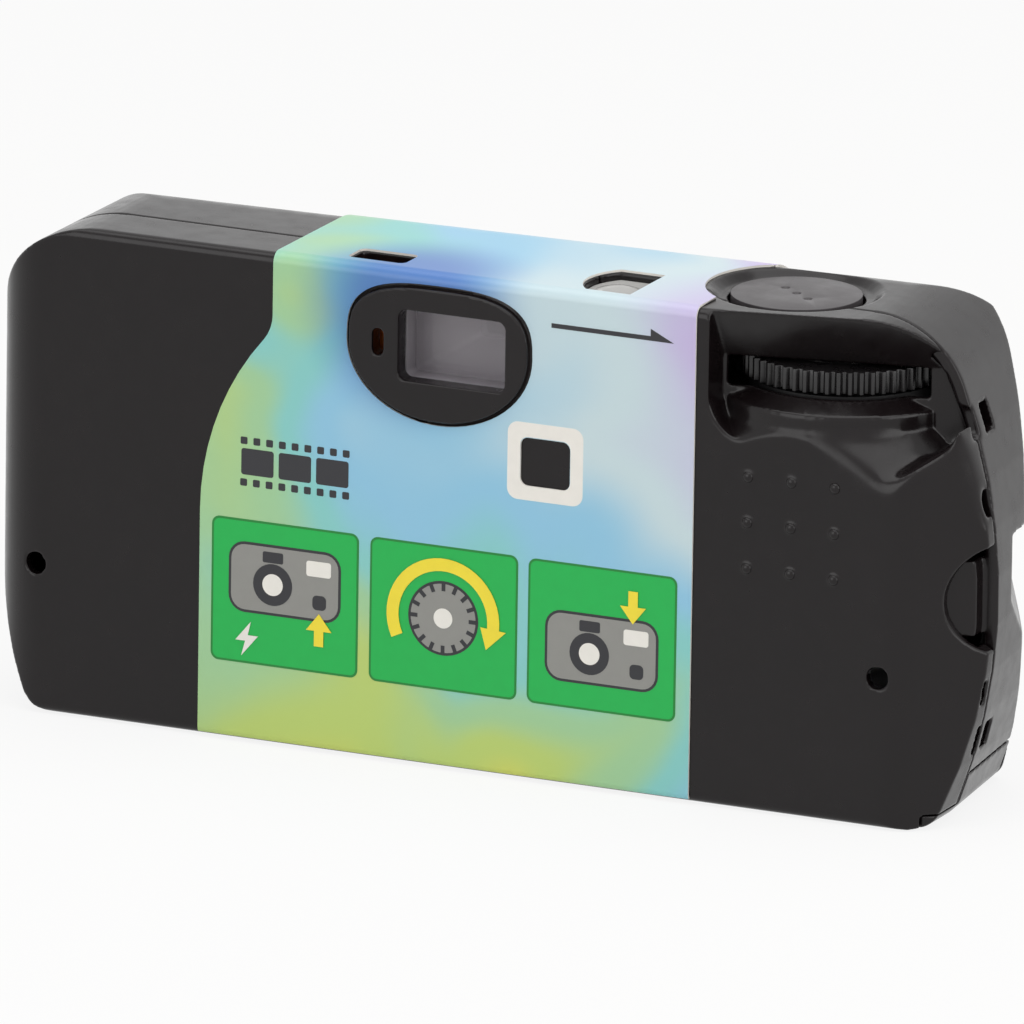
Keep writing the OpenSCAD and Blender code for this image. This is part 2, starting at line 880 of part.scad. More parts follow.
module front_cover() {
  color(black)
    difference() {
      union() {
        difference() {
          intersection() {
            union() {
              envelope(0);
              lens_boss();
              front_frames();
            }
            block([-far, seam_y + seam / 2, -far], [far, far, far]);
          }
          difference() {
            envelope(-wall);
            front_frames();
          }
        }
        intersection() {
          dish_ring();
          envelope(-wall / 2);
          block([-far, seam_y + seam / 2, -far], [far, far, far]);
        }
        grip_wall();
        front_inner();
      }
      grip_notch();
      lens_boss_cavity();
      facing(0, far)
        round_rect([eye_x, eye_z], eye_w, eye_h, 0.8);
      facing(0, far)
        round_rect([flash_x, flash_z], flash_w, flash_h, 0.6);
      facing(0, far)
        round_rect([switch_x, switch_z + switch_travel / 2], neck_w + 0.6,
          neck_h + switch_travel + 0.6, 0.5);
      top_openings();
      latch_windows();
      door_space(door_gap);
      cartridge_room();
      translate([rod_x0, rod_y, rod_z])
        rotate([0, 90, 0])
          cylinder(r = rod_r + pin_fit, h = rod_x1 - rod_x0 + run_gap);
    }
}

module film_door() {
  color(black)
    union() {
      intersection() {
        difference() {
          envelope(0);
          envelope(-wall);
        }
        union() {
          block([door_x, door_rear, -1], [far, door_front, wall]);
          block([side_x + door_gap, door_side_rear, -1], [far, door_front, door_side_z]);
        }
      }
      translate([door_x, door_rear, knuckle_r])
        rotate([-90, 0, 0])
          cylinder(r = knuckle_r, h = door_front - door_rear);
    }
}

// Left edge of the label on the rear, upwards: straight, then bowed in, then straight again
function label_edge() =
  let (
    c = [bow_r - label_left, bow_z],
    d = c + (bow_r + bow_back_r) * [-cos(bow_a), sin(bow_a)]
  )
  concat(turn(c, bow_r, 180, 180 - bow_a), after(turn(d, bow_back_r, -bow_a, 0)));

module label_rear() {
  polygon(concat([[label_right, label_foot], [-label_left, label_foot]], label_edge(),
    [[label_top_left, far], [label_right, far]]));
}

module wrap_label() {
  gap = 0.4;
  color("#2fa7b5")
    difference() {
      intersection() {
        difference() {
          envelope(label_t + eps);
          envelope(eps);
        }
        union() {
          facing(-far, rear_y + 1.2)
            label_rear();
          block([label_top_left, rear_y + 0.8, body_h - 8], [label_right, far, far]);
          block([label_top_left, front_y(0) - top_front_r, label_foot], [label_right, far, far]);
        }
      }
      facing(-far, 0)
        rim_outline(gap);
      facing(-far, 0)
        round_rect(label_hole, label_hole_w, label_hole_h, 0.9);
      translate([button_x, button_y, body_h - 2])
        cylinder(r = dish_r + gap, h = far);
      translate([0, 0, body_h - 2])
        linear_extrude(far)
          counter_outline(gap / 2);
      translate([ready_x, ready_y, body_h - 2])
        linear_extrude(far)
          round_rect([0, 0], ready_l + gap, ready_w + gap, 0.8);
      facing(0, far)
        round_rect([eye_x, eye_z], eye_w + 2 * frame_w + 2 * gap, eye_h + 2 * frame_w + 2 * gap, 1 + gap);
      facing(0, far)
        round_rect([flash_x, flash_z], flash_w + 2 * bezel + 2 * gap, flash_h + 2 * bezel + 2 * gap, 1.9);
      facing(0, far)
        round_rect([switch_x, switch_z + switch_travel / 2], 2 * switch_r + 1,
          2 * switch_r + 1 + switch_travel, switch_r);
      translate([0, 0, lens_z])
        rotate([-90, 0, 0])
          cylinder(r = boss_r + gap + 0.5, h = far);
    }
}

// Ring sector about the wheel axis
module ring_sector(r0, r1, z0, z1, a0, a1) {
  wheel_axis()
    rotate(a0)
      rotate_extrude(angle = a1 - a0)
        translate([r0, z0])
          square([r1 - r0, z1 - z0]);
}

module chassis() {
  wall_a0 = 130;
  wall_a1 = 214;
  supply_gap = 6;
  color(dark)
    difference() {
      union() {
        block([roll_x + 9, gate_y0, base_z1], [deck_right + 2, gate_y1, deck_z1]);
        light_cone(1);
        facing(board_y0, board_y1)
          round_rect([(board_x0 + board_x1) / 2, (board_low + board_top) / 2], board_x1 - board_x0,
            board_top - board_low, 1);
        block([board_x1 - 1, board_y0 - ear_back, board_top - 2],
          [spring_post.x + 1, board_y1 - ear_back, spring_post.y + 1]);
        block([-deck_left, gate_y0, deck_z0], [deck_right, deck_front, deck_z1]);
        block([roll_x, gate_y0, base_z0], [deck_right, base_front, base_z1]);
        translate([roll_x, roll_y, base_z0])
          cylinder(r = supply_r + supply_wall, h = deck_z1 - base_z0);
        block([roll_x, roll_y, deck_z0], [-deck_left + 1, deck_front - 3, deck_z1]);
        block([roll_x - 4, supply_front - 2, pcb_z0 + 4], [roll_x + 4, pcb_y0 - 0.1, pcb_z1 - 4]);
        ring_sector(chamber_r, chamber_r + chamber_wall, base_z0, plate_z1, wall_a0, wall_a1);
        ring_sector(plate_r - 1, chamber_r + chamber_wall / 2, plate_z0, plate_z1, wall_a0 + 2, 180);
        wheel_axis()
          translate([0, 0, plate_z0])
            cylinder(r = plate_r, h = plate_z1 - plate_z0);
        block([deck_right - 2, -6, deck_z0], [deck_right + 1.6, 2, deck_z1]);
        block([deck_right - 3, -6, base_z0], [deck_right + 1.6, 2, base_z1]);
        block([sprocket_x - 4, gate_y0, shelf_z1 - shelf_t], [sprocket_x + 4, sprocket_y + 3, shelf_z1]);
        translate([dial_x, dial_y, deck_z0])
          cylinder(r = dial_post_r, h = dial_z0 + dial_t - deck_z0);
        translate([lever_x, lever_y, deck_z0])
          cylinder(r = lever_post_r, h = lever_z1 + 4.2 - deck_z0);
        translate([blade_pivot.x, board_y0, blade_pivot.y])
          rotate([-90, 0, 0])
            cylinder(r = blade_pin_r, h = stop_y0 - seat_gap - board_y0);
        translate([spring_post.x, board_y0, spring_post.y])
          rotate([-90, 0, 0])
            cylinder(r = post_r, h = blade_y1 + 0.3 - board_y0);
      }
      light_cone(0);
      translate([roll_x, roll_y, base_z1])
        cylinder(r = supply_r, h = film_z1 + 0.2 - base_z1);
      block([-far, -far, 0], [far, gate_y0, far]);
      wheel_axis()
        translate([0, 0, plate_z0 - 1])
          cylinder(r = spool_r + 0.7, h = plate_z1 - plate_z0 + 2);
      translate([sprocket_x, sprocket_y, shelf_z1 + 0.05])
        cylinder(r = sprocket_r + sprocket_tooth + run_gap, h = deck_z0 - shelf_z1 - 0.1);
      translate([sprocket_x, sprocket_y, deck_z0 - 1])
        cylinder(r = shaft_r + pin_fit, h = far);
      translate([0, board_y0 - 1, lens_z])
        rotate([-90, 0, 0])
          cylinder(r = lens_r - 1, h = 4);
      translate([-battery_l / 2 - 2, battery_y, battery_z])
        rotate([0, 90, 0])
          cylinder(r = battery_r + 0.05, h = battery_l + 4);
      translate([roll_x, roll_y - supply_gap, film_z0 - 0.4])
        cube([supply_r + supply_wall + 0.5, supply_gap + 3, film_w + 0.6]);
    }
}

module viewfinder_frame() {
  color(dark)
    difference() {
      facing(finder_y0, finder_y1)
        round_rect([eye_x, eye_z], eye_w + 2 * finder_wall, eye_h + 2 * finder_wall, 0.8);
      facing(-far, far)
        round_rect([eye_x, eye_z], eye_w, eye_h, 0.6);
    }
}

module eyepiece_lens() {
  color(clear)
    facing(finder_y0 + 2.2, finder_y0 + 4.2)
      round_rect([eye_x, eye_z], eye_w - 2 * eps, eye_h - 2 * eps, 0.6);
}

module objective_lens() {
  color(clear)
    facing(finder_y1 - 1.6, finder_y1 - 0.2)
      round_rect([eye_x, eye_z], eye_w - 2 * eps, eye_h - 2 * eps, 0.6);
}

module counter_window() {
  dome_h = 0.5;
  dome_r = (magnifier_r * magnifier_r + dome_h * dome_h) / (2 * dome_h);
  color(clear)
    union() {
      intersection() {
        translate([0, 0, top_in - 1])
          linear_extrude(0.9)
            counter_outline(0.8);
        block([-far, rear_in + seat_gap, 0], [far, far, far]);
      }
      translate([0, 0, top_in - 0.2])
        linear_extrude(0.8)
          counter_outline(-0.1);
      intersection() {
        translate([counter_x, counter_y, top_in + 0.6 + dome_h - dome_r])
          sphere(dome_r);
        translate([counter_x, counter_y, top_in + 0.4])
          cylinder(r = magnifier_r, h = 2);
      }
    }
}

module shutter_button() {
  dot_r = 0.55;
  dot_deep = 0.35;
  dot_pitch = [2, 1.6];
  stem_r = 1.5;
  stem_gap = 0.3;
  tab_w = 4;
  tab_l = 1.2;
  z1 = body_h - 0.4;
  color(grey)
    translate([button_x, button_y, 0])
      difference() {
        union() {
          translate([0, 0, top_in - ring_deep - 0.3])
            cylinder(r = button_r, h = z1 - top_in + ring_deep + 0.3);
          for (s = [-1, 1])
            translate([s * button_r - tab_l, -tab_w / 2, top_in - ring_deep - 0.7])
              cube([2 * tab_l, tab_w, 0.6]);
          translate([0, 0, arm_z1 + stem_gap])
            cylinder(r = stem_r, h = top_in - ring_deep - arm_z1 - stem_gap);
        }
        for (i = [-1:1])
          translate([i * dot_pitch.x, -i * dot_pitch.y, z1 + dot_r - dot_deep])
            sphere(dot_r);
      }
}

module release_lever() {
  color(dark)
    union() {
      block([button_x - 2, button_y - 1.3, arm_z1 - arm_t], [button_x + 2, rod_y, arm_z1]);
      translate([rod_x0, rod_y, rod_z])
        rotate([0, 90, 0])
          cylinder(r = rod_r, h = rod_x1 - rod_x0);
      block([rod_x0, rod_y - 0.8, lever_z1 - 1], [rod_x0 + 2, rod_y + 0.8, rod_z]);
    }
}

module thumbwheel() {
  n = wheel_ribs;
  hub_r = 7;
  color(grey)
    difference() {
      union() {
        wheel_axis()
          translate([0, 0, wheel_z0])
            linear_extrude(wheel_t)
              polygon([for (i = [0:n - 1], k = [0:3])
                let (a = 360 * (i + [0, 0.3, 0.5, 0.8][k]) / n, r = wheel_r - [0, 0, 1, 1][k] * wheel_rib_h)
                r * [cos(a), sin(a)]]);
        wheel_axis()
          translate([0, 0, plate_z1 + 0.15])
            cylinder(r = hub_r, h = wheel_z1 + 0.1 - plate_z1 - 0.15);
      }
      wheel_axis()
        cylinder(r = spool_r + 0.02, h = far);
    }
}

module anti_reverse_pawl() {
  color(steel)
    union() {
      ring_sector(wheel_r + 1.2, wheel_r + 2, plate_z1 + 0.05, wheel_z1 - 0.4, 140, 172);
      ring_sector(wheel_r + run_gap, wheel_r + 2, plate_z1 + 0.05 + run_gap, wheel_z1 - 0.4, 171, 174);
    }
}

module cartridge_shell() {
  lip_t = 0.2;
  color(steel)
    difference() {
      union() {
        wheel_axis()
          translate([0, 0, cart_z0 + cap_t])
            cylinder(r = shell_r, h = cart_h - 2 * cap_t);
        block([lip_x, film_y - lip_t - 0.05, film_z0 - 0.4],
          [lip_x + lip_l, film_y + film_t + 0.8, film_z1 - film_end]);
      }
      wheel_axis()
        cylinder(r = shell_r - shell_t, h = far);
      block([lip_x - 1, film_y - 0.05, film_z0 - 0.1], [lip_x + lip_l, film_y + film_t + 0.05, film_z1 + 0.1]);
    }
}

module cartridge_caps() {
  color(dark)
    wheel_axis()
      for (top = [0, 1])
        translate([0, 0, top ? cart_z1 : cart_z0])
          mirror([0, 0, top])
            difference() {
              cylinder(r = cart_r, h = cap_rim_h);
              translate([0, 0, cap_t])
                cylinder(r = shell_r + 0.05, h = far);
              translate([0, 0, -1])
                cylinder(r = spool_r + 0.3, h = far);
              translate([lip_x - wheel_x - 3, -far, cap_t])
                cube([lip_l + 4, far - 9, far]);
            }
}

module cartridge_spool() {
  flange_r = shell_r - shell_t - 0.4;
  flange_t = 0.6;
  bore_r = 3;
  low_bore = 6;
  top_bore = 4;
  color(black)
    wheel_axis()
      difference() {
        union() {
          translate([0, 0, cart_z0 + 0.1])
            cylinder(r = spool_r, h = spool_top - cart_z0 - 0.1);
          for (z = [cart_z0 + cap_t + 0.2, cart_z1 - cap_t - 0.2 - flange_t])
            translate([0, 0, z])
              cylinder(r = flange_r, h = flange_t);
        }
        translate([0, 0, cart_z0])
          cylinder(r = bore_r, h = low_bore);
        translate([0, 0, spool_top - top_bore])
          cylinder(r = bore_r, h = top_bore + 1);
      }
}

module film() {
  color(film_brown)
    difference() {
      union() {
        block([roll_x, film_y, film_z0], [lip_x + lip_l - 1.5, film_y + film_t, film_z1]);
        translate([roll_x, roll_y, film_z0])
          cylinder(r = roll_r, h = film_w);
      }
      translate([roll_x, roll_y, 0])
        cylinder(r = roll_core_r, h = far);
      block([sprocket_x - 4.2, film_y - 1, sprocket_mid_z - tooth_h / 2 - 0.4],
        [sprocket_x + 4.2, film_y + 1, sprocket_mid_z + tooth_h / 2 + 0.4]);
      block([lip_x, film_y - 1, film_z1 - film_end], [far, film_y + 1, far]);
    }
}

module sprocket() {
  color(dark)
    translate([sprocket_x, sprocket_y, 0])
      union() {
        translate([0, 0, sprocket_mid_z - sprocket_h / 2])
          cylinder(r = sprocket_r - 0.1, h = sprocket_h);
        for (i = [0:teeth - 1])
          rotate(360 * i / teeth)
            translate([sprocket_r - 1, -tooth_w / 2, sprocket_mid_z - tooth_h / 2])
              cube([1 + sprocket_tooth, tooth_w, tooth_h]);
        translate([0, 0, shelf_z1 + 0.1])
          cylinder(r = shaft_r, h = finger_z0 + finger_h - shelf_z1 - 0.1);
      }
}

module shutter_cam() {
  notch_turn = 40;
  notch_deep = 0.8;
  notch_w = 2;
  color(grey)
    translate([sprocket_x, sprocket_y, 0])
      difference() {
        union() {
          translate([0, 0, cam_z0])
            cylinder(r = cam_r, h = cam_h);
          translate([0, 0, cam_z0 + cam_h - eps])
            cylinder(r = shaft_r + 0.5, h = finger_z0 + finger_h - cam_z0 - cam_h);
          translate([0, -0.5, finger_z0])
            cube([finger_r, 1, finger_h - eps]);
        }
        translate([0, 0, cam_z0 - 1])
          cylinder(r = shaft_r + 0.01, h = far);
        rotate(notch_turn)
          translate([cam_r - notch_deep, -notch_w / 2, cam_z0 - 1])
            cube([notch_w, notch_w, cam_h + 1]);
      }
}

module counter_dial() {
  color("#ecebe6")
    translate([dial_x, dial_y, 0])
      difference() {
        union() {
          translate([0, 0, dial_z0])
            cylinder(r = dial_r, h = dial_t);
          translate([0, 0, dial_z0 - dial_gear_h])
            cylinder(r = dial_gear_r, h = dial_gear_h + eps);
        }
        translate([0, 0, dial_z0 - 5])
          cylinder(r = dial_post_r + pin_fit, h = far);
      }
}

module drive_lever() {
  cam_arm_w = 1.6;
  blade_arm_w = 1.4;
  rod_arm_w = 1.2;
  p = [lever_x, lever_y];
  to_cam = [sprocket_x, sprocket_y] - p;
  cam_tip = p + to_cam / norm(to_cam) * (norm(to_cam) - cam_r - 1.2);
  color(steel)
    difference() {
      union() {
        translate([lever_x, lever_y, lever_z0])
          cylinder(r = lever_hub_r, h = lever_z1 - lever_z0);
        translate([0, 0, lever_z1 - lever_t])
          linear_extrude(lever_t) {
            arm(p, cam_tip, cam_arm_w);
            arm(p, [blade_tab.x - 0.2, blade_y0 - 1.1], blade_arm_w);
            arm(p, [rod_x0 - 1.2, rod_y - 0.9], rod_arm_w);
          }
      }
      translate([lever_x, lever_y, lever_z0 - 1])
        cylinder(r = lever_post_r + pin_fit, h = far);
    }
}

module drive_spring() {
  wire = 0.25;
  turns = 4;
  pitch = 0.92;
  color(steel)
    translate([lever_x, lever_y, lever_z1 + 0.35])
      coil(lever_post_r + 0.65, wire, turns, pitch);
}

module shutter_blade() {
  neck = 3;
  eye_r = 2.2;
  tab_w = 1.6;
  color(black)
    difference() {
      facing(blade_y0, blade_y1) {
        translate([0, lens_z])
          circle(lens_r - 0.4);
        bar([0, lens_z], blade_pivot, neck);
        translate(blade_pivot)
          circle(eye_r);
        bar(blade_pivot, blade_tab, tab_w);
        bar(blade_pivot, blade_lug, blade_lug_w);
      }
      facing(blade_y0 - 1, blade_y1 + 1)
        translate(blade_pivot)
          circle(blade_pin_r + pin_fit);
    }
}

module blade_spring() {
  coil_r = 0.6;
  wire = 0.15;
  turns = 7;
  color(steel)
    translate([blade_lug.x, (blade_y0 + blade_y1) / 2, blade_spring_z])
      coil(coil_r, wire, turns, blade_spring_l / turns);
}

module aperture_plate() {
  color(dark)
    difference() {
      facing(stop_y0, stop_y1)
        round_rect([(board_x0 + board_x1) / 2 + 0.5, (board_low + board_top) / 2], board_x1 - board_x0 - 1,
          board_top - board_low - 1, 1);
      facing(stop_y0 - 1, stop_y1 + 1)
        translate([0, lens_z])
          circle(stop_r);
    }
}

module lens_holder() {
  color(black)
    translate([0, stop_y1, lens_z])
      rotate([-90, 0, 0])
        difference() {
          cylinder(r = holder_r, h = holder_y1 - stop_y1);
          translate([0, 0, -1])
            cylinder(r = lens_r - 1, h = far);
          translate([0, 0, lens_y0 - stop_y1])
            cylinder(r = lens_r + 0.05, h = far);
        }
}

module taking_lens() {
  front_bend = 12;
  rear_bend = 20;
  color(clear)
    translate([0, lens_y0, lens_z])
      rotate([-90, 0, 0])
        difference() {
          intersection() {
            cylinder(r = lens_r, h = lens_t);
            translate([0, 0, lens_t - front_bend])
              sphere(front_bend);
          }
          translate([0, 0, 0.3 - rear_bend])
            sphere(rear_bend);
        }
}

module flash_window() {
  color(clear)
    facing(flash_face_y - window_t - 0.2, flash_face_y - 0.2)
      round_rect([flash_x, flash_z], flash_w - 0.2, flash_h - 0.2, 0.5);
}

module flash_reflector() {
  y1 = flash_face_y - window_t - 0.35;
  y0 = supply_front + 1.1;
  t = 0.5;
  color(steel)
    difference() {
      facing(y0, y1)
        round_rect([flash_x, flash_z], flash_w - 0.4, flash_h - 0.4, 0.5);
      translate([flash_x, y1 + 0.6, flash_z])
        rotate([0, 90, 0])
          cylinder(r = min(flash_h / 2 - 0.2 - t, y1 + 0.6 - y0 - t), h = flash_w - 0.4 - 2 * t, center = true);
      translate([flash_x, y0 + t + tube_r + 0.9, flash_z])
        rotate([0, 90, 0])
          cylinder(r = tube_r + 0.1, h = far, center = true);
    }
}

module flash_tube() {
  y0 = supply_front + 1.1;
  color("#e4edf0")
    translate([flash_x, y0 + 0.5 + tube_r + 0.9, flash_z])
      rotate([0, 90, 0])
        cylinder(r = tube_r, h = flash_w - 2 * seat_gap, center = true);
}

module flash_board() {
  color(board_green)
    block([pcb_x0, pcb_y0, pcb_z0], [pcb_x1, pcb_y1, pcb_z1]);
}

// A transistor, a resistor and a diode
module board_parts() {
  row_z = pcb_z0 + 4;
  transistor = [4, 2, 4.5];
  lead_r = 0.9;
  resistor_x = pcb_x0 + 12;
  resistor_l = 6;
  diode_x = pcb_x0 + 15.5;
  diode_l = 5;
  color(black) {
    translate([pcb_x0 + 3, pcb_y1, row_z])
      cube(transistor);
    translate([resistor_x, pcb_y1 + lead_r, row_z])
      cylinder(r = lead_r, h = resistor_l);
    translate([diode_x, pcb_y1 + lead_r, row_z])
      cylinder(r = lead_r, h = diode_l);
  }
}

module flash_transformer() {
  core = [9, 2.6, 8];
  color(grey)
    translate([pcb_x0 + 3, pcb_y1, pcb_z0 + 13])
      cube(core);
}

module trigger_coil() {
  coil_r = 1.3;
  coil_l = 7;
  color(brass)
    translate([pcb_x0 + 16, pcb_y1 + coil_r, pcb_z0 + 15])
      cylinder(r = coil_r, h = coil_l);
}

module flash_capacitor() {
  color(dark)
    translate([capacitor_x, capacitor_y, capacitor_z0])
      cylinder(r = capacitor_r, h = capacitor_l);
}

module neon_lamp() {
  lamp_r = 1.3;
  lamp_l = 3.4;
  lamp_x = eye_x - eye_w / 2 - finder_wall - 2.2;
  color("#d99a5a")
    translate([lamp_x, ready_y + 4, deck_z1])
      union() {
        cylinder(r = lamp_r, h = lamp_l);
        translate([0, 0, lamp_l])
          sphere(lamp_r);
      }
}

// Two spring blades that rise from one foot beside the shutter
module sync_contacts() {
  x0 = board_x0 - 1.6;
  strip_t = 0.3;
  strip_gap = 0.9;
  foot_z = lens_z + 2.5;
  foot_h = 1.5;
  strip_z1 = lens_z + 12;
  color(brass)
    union() {
      for (x = [x0, x0 + strip_gap])
        block([x, board_y0 - 1, foot_z + foot_h], [x + strip_t, board_y1, strip_z1]);
      block([x0, board_y0 - 1, foot_z], [board_x0 - 0.05, board_y1, foot_z + foot_h + eps]);
    }
}

module flash_switch() {
  cap_y0 = front_y(switch_x + switch_r) + run_gap;
  cap_t = 1.5;
  rib_w = 5.2;
  rib_h = 0.7;
  rib_proud = 0.4;
  rib_pitch = 2;
  flange_low = 5;
  flange_high = 6;
  color(grey)
    union() {
      translate([switch_x, cap_y0, switch_z])
        rotate([-90, 0, 0])
          cylinder(r = switch_r, h = cap_t);
      for (i = [-1:1])
        translate([switch_x - rib_w / 2, cap_y0 + cap_t - 0.1, switch_z - rib_h / 2 + i * rib_pitch])
          cube([rib_w, rib_proud + 0.1, rib_h]);
      facing(flange_y0, cap_y0 + eps)
        round_rect([switch_x, switch_z], neck_w, neck_h, 0.4);
      block([switch_x - flange_half, flange_y0, switch_z - flange_low],
        [switch_x + flange_half, flange_y1, switch_z + flange_high]);
    }
}

module switch_link() {
  x1 = link_x0 + link_w;
  foot_z = switch_z + 1;
  foot_h = 3;
  color(dark)
    union() {
      block([switch_x + flange_half, flange_y0, foot_z], [x1, flange_y0 + link_t, foot_z + foot_h]);
      block([link_x0, flange_y0, foot_z], [x1, flange_y0 + link_t, link_z1]);
      block([link_x0, ready_y + ready_w / 2 - run_gap, link_z1 - link_h], [x1, flange_y0 + link_t, link_z1]);
    }
}

module ready_light_guide() {
  color("#c9622f")
    translate([ready_x, ready_y, link_z1 - link_h])
      linear_extrude(body_h - 2 - link_z1 + link_h)
        round_rect([0, 0], ready_l - 2 * run_gap, ready_w - 2 * run_gap, 0.4);
}

module battery() {
  nub_l = 0.7;
  nub_r = 1.8;
  color("#4d5560")
    translate([-battery_l / 2, battery_y, battery_z])
      rotate([0, 90, 0])
        union() {
          cylinder(r = battery_r, h = battery_l);
          cylinder(r = nub_r, h = battery_l + nub_l);
        }
}

module battery_contacts() {
  contact_w = 7;
  contact_h = 8;
  contact_gap = 0.75;
  color(brass)
    for (s = [-1, 1])
      translate([s * (battery_l / 2 + contact_gap + contact_t / 2), battery_y, battery_z])
        cube([contact_t, contact_w, contact_h], center = true);
}

rear_cover();
front_cover();
film_door();
wrap_label();
chassis();
viewfinder_frame();
eyepiece_lens();
objective_lens();
counter_window();
shutter_button();
release_lever();
thumbwheel();
anti_reverse_pawl();
cartridge_shell();
cartridge_caps();
cartridge_spool();
film();
sprocket();
shutter_cam();
counter_dial();
drive_lever();
drive_spring();
shutter_blade();
blade_spring();
aperture_plate();
lens_holder();
taking_lens();
flash_window();
flash_reflector();
flash_tube();
flash_board();
board_parts();
flash_transformer();
trigger_coil();
flash_capacitor();
neon_lamp();
sync_contacts();
flash_switch();
switch_link();
ready_light_guide();
battery();
battery_contacts();
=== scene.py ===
import json
import math

import bpy
from bpy.props import FloatProperty, FloatVectorProperty, IntProperty, PointerProperty
from mathutils import Matrix, Vector

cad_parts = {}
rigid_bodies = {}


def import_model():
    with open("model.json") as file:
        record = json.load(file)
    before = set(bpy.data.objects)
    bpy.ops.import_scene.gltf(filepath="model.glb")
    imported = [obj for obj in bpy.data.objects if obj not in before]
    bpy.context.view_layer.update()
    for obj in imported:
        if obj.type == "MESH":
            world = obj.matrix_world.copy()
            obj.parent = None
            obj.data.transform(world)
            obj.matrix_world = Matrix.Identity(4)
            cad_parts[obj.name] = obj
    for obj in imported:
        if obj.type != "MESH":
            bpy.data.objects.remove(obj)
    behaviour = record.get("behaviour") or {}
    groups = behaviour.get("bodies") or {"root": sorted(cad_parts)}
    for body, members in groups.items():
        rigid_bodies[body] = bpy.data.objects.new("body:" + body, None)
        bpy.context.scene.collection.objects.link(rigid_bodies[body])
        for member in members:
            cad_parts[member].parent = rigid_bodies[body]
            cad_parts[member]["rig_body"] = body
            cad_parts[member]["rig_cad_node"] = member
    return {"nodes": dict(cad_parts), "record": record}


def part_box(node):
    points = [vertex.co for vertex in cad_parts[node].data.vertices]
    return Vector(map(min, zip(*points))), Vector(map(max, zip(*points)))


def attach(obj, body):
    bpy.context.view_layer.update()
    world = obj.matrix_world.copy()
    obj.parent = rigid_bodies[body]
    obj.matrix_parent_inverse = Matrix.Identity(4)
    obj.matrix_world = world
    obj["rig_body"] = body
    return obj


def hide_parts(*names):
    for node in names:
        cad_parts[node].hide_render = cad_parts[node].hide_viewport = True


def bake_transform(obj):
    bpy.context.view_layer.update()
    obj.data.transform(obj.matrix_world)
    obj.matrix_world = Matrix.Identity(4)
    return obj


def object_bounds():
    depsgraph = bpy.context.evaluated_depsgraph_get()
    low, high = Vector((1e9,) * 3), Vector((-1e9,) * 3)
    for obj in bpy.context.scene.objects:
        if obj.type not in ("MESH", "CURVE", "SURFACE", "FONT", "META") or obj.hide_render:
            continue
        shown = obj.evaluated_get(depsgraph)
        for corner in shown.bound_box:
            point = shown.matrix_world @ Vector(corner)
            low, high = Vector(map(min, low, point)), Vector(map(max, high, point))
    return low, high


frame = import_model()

bl_info = {
    "name": "Disposable Film Camera",
    "version": (1, 0, 0),
    "blender": (4, 5, 0),
    "location": "View3D > Sidebar > Film Camera",
    "description": "Dresses the solids of a disposable 35 mm film camera",
    "category": "Object",
}

MM = 0.001
INK = 0.02 * MM
CAD_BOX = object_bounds()

# The eyepiece rim stands proud of the rear face, and the covers meet at the seam
EYE_PROUD = 0.8 * MM
REAR_DEPTH = 8 * MM
REAR_Y = CAD_BOX[0].y + EYE_PROUD
SEAM_Y = REAR_Y + REAR_DEPTH

# Places on the rear, as width and height in millimetres
PANELS = [(-21.6, 16.6), (-2.97, 16.6), (15.53, 16.6)]
WINDOW = (8.62, 35.05)
FILM_SIGN = (-20.6, 30.9)
WIND_ARROW = [(9.1, 50.5), (9.1, 50.0), (23.3, 50.0), (20.6, 51.3), (20.6, 50.5)]
PIP_FIRST = (32, 26.5)
PIP_PITCH = 5
EYE = (-2.3, 46.1)

# Places on a printed camera sign, from its middle, in millimetres
SIGN_LENS = (-1.4, -0.5)
SIGN_FINDER = (-1.4, 2.5)
SIGN_SWITCH = (4.1, -1.8)
SIGN_FLASH = (4, 1.9)

# Side of the photograph in pixels, and the pixel where one point of the rear's lower edge shows
IMAGE_SIDE = 1024
ANCHOR_X = -3 * MM
ANCHOR_PIXEL = (442, 768)

# Place and side of each panel of light, in metres
LIGHT_PANELS = {
    "top_panel": ((0.05, -0.05, 0.75), 0.9),
    "right_panel": ((0.7, -0.1, 0.3), 0.5),
    "rear_panel": ((-0.3, -0.9, 0.35), 0.6),
}


def linear(code):
    """The linear colour of an sRGB hex value."""
    parts = [int(code[i:i + 2], 16) / 255 for i in (1, 3, 5)]
    return tuple(c / 12.92 if c <= 0.04045 else ((c + 0.055) / 1.055) ** 2.4 for c in parts)


def colour(name, description, code):
    """A colour property whose default is an sRGB hex value."""
    return FloatVectorProperty(name=name, description=description, subtype="COLOR",
                               min=0, max=1, default=linear(code))


def length(name, description, millimetres):
    """A length property whose default is in millimetres."""
    return FloatProperty(name=name, description=description, unit="LENGTH", min=0,
                         precision=5, default=millimetres * MM)


class CoverSettings(bpy.types.PropertyGroup):
    plastic: colour("Plastic", "Black moulded covers", "#120d0e")
    grain: length("Grain", "Size of the spark-eroded grain", 0.35)
    voxel: length("Voxel", "Step of the mesh that rounds the edges", 0.2)
    edge_passes: IntProperty(name="Edge passes", description="Rounding of every edge", min=0, default=4)
    lip_passes: IntProperty(name="Lip passes", description="Rounding of the thumb recess", min=0, default=24)
    dip_passes: IntProperty(name="Dip passes", description="Rounding of the hollow under the recess", min=0,
                            default=260)


